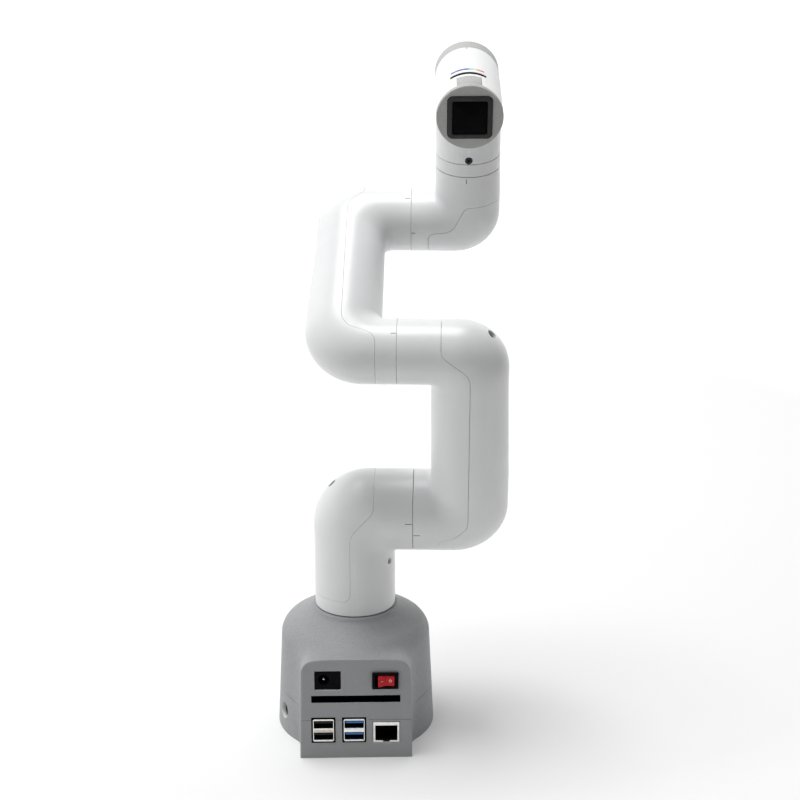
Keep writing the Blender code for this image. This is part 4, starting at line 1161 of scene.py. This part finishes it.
def ethernet_port():
    """A steel jack with its plug opening, latch notch, dark lining and eight contacts."""
    low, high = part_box("ethernet_jack")
    front, x = low.y, (low.x + high.x) / 2
    reach, bottom, top = 6.45 * MM, low.z + 1.0 * MM, high.z - 2.3 * MM
    outside, deep = front - 1 * MM, front + 12 * MM
    case = block("ethernet_case", low, high, BASE, "port_steel")
    hole = across(x, reach, (outside, bottom), (deep, top))
    notch = across(x, 1.9 * MM, (outside, low.z - 1 * MM), (deep, bottom + 1 * MM))
    cut(case, block("plug_hole", *hole, BASE), block("latch_notch", *notch, BASE))
    soften(case, 0.2)
    piece(case, "base", "port_steel", "ethernet_jack")
    start, back, lip = front + 0.7 * MM, front + 11.9 * MM, 0.5 * MM
    room = across(x, reach, (start, low.z), (back, top))
    throat = across(x, reach - lip, (front, bottom + lip), (back - 1 * MM, top - lip))
    lined("ethernet", room, throat, "socket_dark")
    low, high = (front + 3 * MM, top - 1.5 * MM), (front + 10 * MM, top - 0.6 * MM)
    for index in range(8):
        contact = across(x + (index - 3.5) * 1.02 * MM, 0.2 * MM, low, high)
        name = f"ethernet_contact_{index}"
        box_piece(name, contact, "contact_gold", "port_steel", 0.05 * MM)


def rocker():
    """The red rocker with its two halves marked by a bar and a ring."""
    low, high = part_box("power_switch_case")
    place = spot("base", ((low.x + high.x) / 2, PORT_FACE_Y + 1.6 * MM, POWER_Z), (90, 0, 9))
    half, crest, dip = mm(4.9, 3.9, 2.6)
    outline = [(-half, crest), (0, dip), (half, crest)]
    outline += [(half - 0.6 * MM, -1.2 * MM), (0, -2.2 * MM), (0.6 * MM - half, -1.2 * MM)]
    red = prism("rocker_finished", outline, *mm(-3.4, 3.4), place, "red_rocker")
    soften(red, 0.55, 3, 12)
    piece(red, "power_rocker", "red_rocker", "power_rocker")
    slope = math.atan((crest - dip) / half)
    faces = []
    for side in (-1, 1):
        at = Matrix.Translation((side * half / 2, 0, (crest + dip) / 2 - 0.02 * MM))
        faces.append(place @ at @ Matrix.Rotation(-side * slope, 4, "Y"))
    low, high = mm((-0.7, -0.14, -0.1), (0.7, 0.14, 0.04))
    ring = mm((0.88, 0.04), (0.88, -0.1), (0.62, -0.1), (0.62, 0.04))
    piece(block("rocker_bar", low, high, faces[0], "mark_white"), "power_rocker", "red_rocker")
    ring = turned("rocker_ring", ring, faces[1], "mark_white", 32, True)
    piece(ring, "power_rocker", "red_rocker")


def jack_pin():
    """The power inlet's round-ended pin."""
    low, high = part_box("dc_jack_pin")
    place = spot("base", ((low.x + high.x) / 2, low.y, (low.z + high.z) / 2), (90, 0, 0))
    radius, back = 0.8 * MM, low.y - high.y
    tip = [(radius * math.sin(t), radius * (math.cos(t) - 1)) for t in (0, 0.4, 0.8, 1.2, 1.57)]
    pin = turned("jack_pin_finished", [*tip, (radius, back), (0, back)], place, "port_steel", 32)
    piece(pin, "base", "horn_alloy", "dc_jack_pin")


def slot_liner():
    """The black lining just inside the pin-header slot."""
    centre, lip = (0, SLOT_Z), 0.35 * MM
    half_w, half_h = mm(25.95, 2.25)
    outer = square(half_w, half_h, 0.3 * MM, centre)
    inner = square(half_w - lip, half_h - lip, 0.2 * MM, centre)
    framed("slot_liner", outer, inner, PORT_FACE_Y + 0.1 * MM, PORT_FACE_Y + 6 * MM)


def build_ports():
    slot_liner()
    usb_ports("usb_2_sockets", ("socket_dark", "tongue_black"), "band_cream")
    usb_ports("usb_3_sockets", ("socket_navy", "tongue_blue"), "band_silver")
    ethernet_port()
    rocker()
    jack_pin()


# ---- pieces kept from the frame


def finish_kept_nodes():
    """Gives every node that is still shown its material and a weld, and rounds the sharp edges of servo cases,
    black plastic and boards.
    """
    slots = {entry["node"]: entry["material_slot"] for entry in frame["record"]["subparts"]}
    edges = {"servo_case": 0.5, "black_plastic": 0.25, "board_green": 0.15}
    for name, obj in frame["nodes"].items():
        if obj.hide_render:
            continue
        slot = slots[name]
        obj.data.materials.clear()
        obj.data.materials.append(LOOKS[slot].made)
        weld = obj.modifiers.new("weld", "WELD")
        weld.merge_threshold = 0.005 * MM
        if slot in edges:
            bevelled(obj, edges[slot])


# ---- stage


def add_light(name, location, target, size, power):
    data = bpy.data.lights.new(name, "AREA")
    data.shape = "DISK"
    data.size = size
    data.energy = power
    light = added(name, data)
    light.location = location
    light.rotation_euler = (Vector(target) - Vector(location)).to_track_quat("-Z", "Y").to_euler()


def add_camera():
    """The photograph's camera, as fitted to it."""
    data = bpy.data.cameras.new("camera")
    data.lens = 72.46
    data.clip_start, data.clip_end = 0.05, 30
    camera = added("camera", data)
    camera.location = mm(4.4, -894.3, 486.3)
    tilt_down, turn_right = 17.51, 1.45  # degrees
    camera.rotation_euler = [math.radians(angle) for angle in (90 - tilt_down, 0, -turn_right)]
    bpy.context.scene.camera = camera


def add_floor():
    """A pale round floor that sweeps up into a wall all round."""
    flat, bend, height, sides = 1.7, 1.3, 3.6, 96
    profile = [(0.5, 0.0), (flat, 0.0)]
    for step in range(1, 17):
        turn = math.pi / 2 * step / 16
        profile.append((flat + bend * math.sin(turn), bend * (1 - math.cos(turn))))
    profile.append((flat + bend, height))
    bm = bmesh.new()
    rings = [level_ring(bm, radius, up, sides) for radius, up in profile]
    bm.faces.new(rings[0])
    for ring, following in zip(rings, rings[1:]):
        skin(bm, ring, following, sides)
    mesh = bpy.data.meshes.new("floor")
    bm.to_mesh(mesh)
    bm.free()
    # The backdrop material glows: painted light on the floor and the wall.
    mesh.materials.append(backdrop().made)
    mesh.shade_smooth()
    added("floor", mesh)


def add_world():
    world = bpy.data.worlds.new("studio")
    world.use_nodes = True
    sky = world.node_tree.nodes["Background"].inputs
    sky["Color"].default_value = (1, 1, 1, 1)
    sky["Strength"].default_value = 0.06
    bpy.context.scene.world = world
    bpy.context.scene.view_settings.view_transform = "Standard"


def build_stage():
    add_camera()
    add_floor()
    add_world()
    middle = (0, 0.1, 0.2)
    add_light("overhead", (-0.25, 0.05, 2.3), middle, 1.25, 39)
    add_light("key", (-0.5, -0.4, 1.3), (0, 0, 0.25), 0.7, 1.8)


def main():
    build_stage()
    build_housing()
    build_ports()
    build_shoulder()
    build_upper_arm()
    build_forearm()
    build_wrist()
    head_shell()
    head_top()
    head_collar()
    front_cap()
    tool_flange()
    finish_kept_nodes()


main()
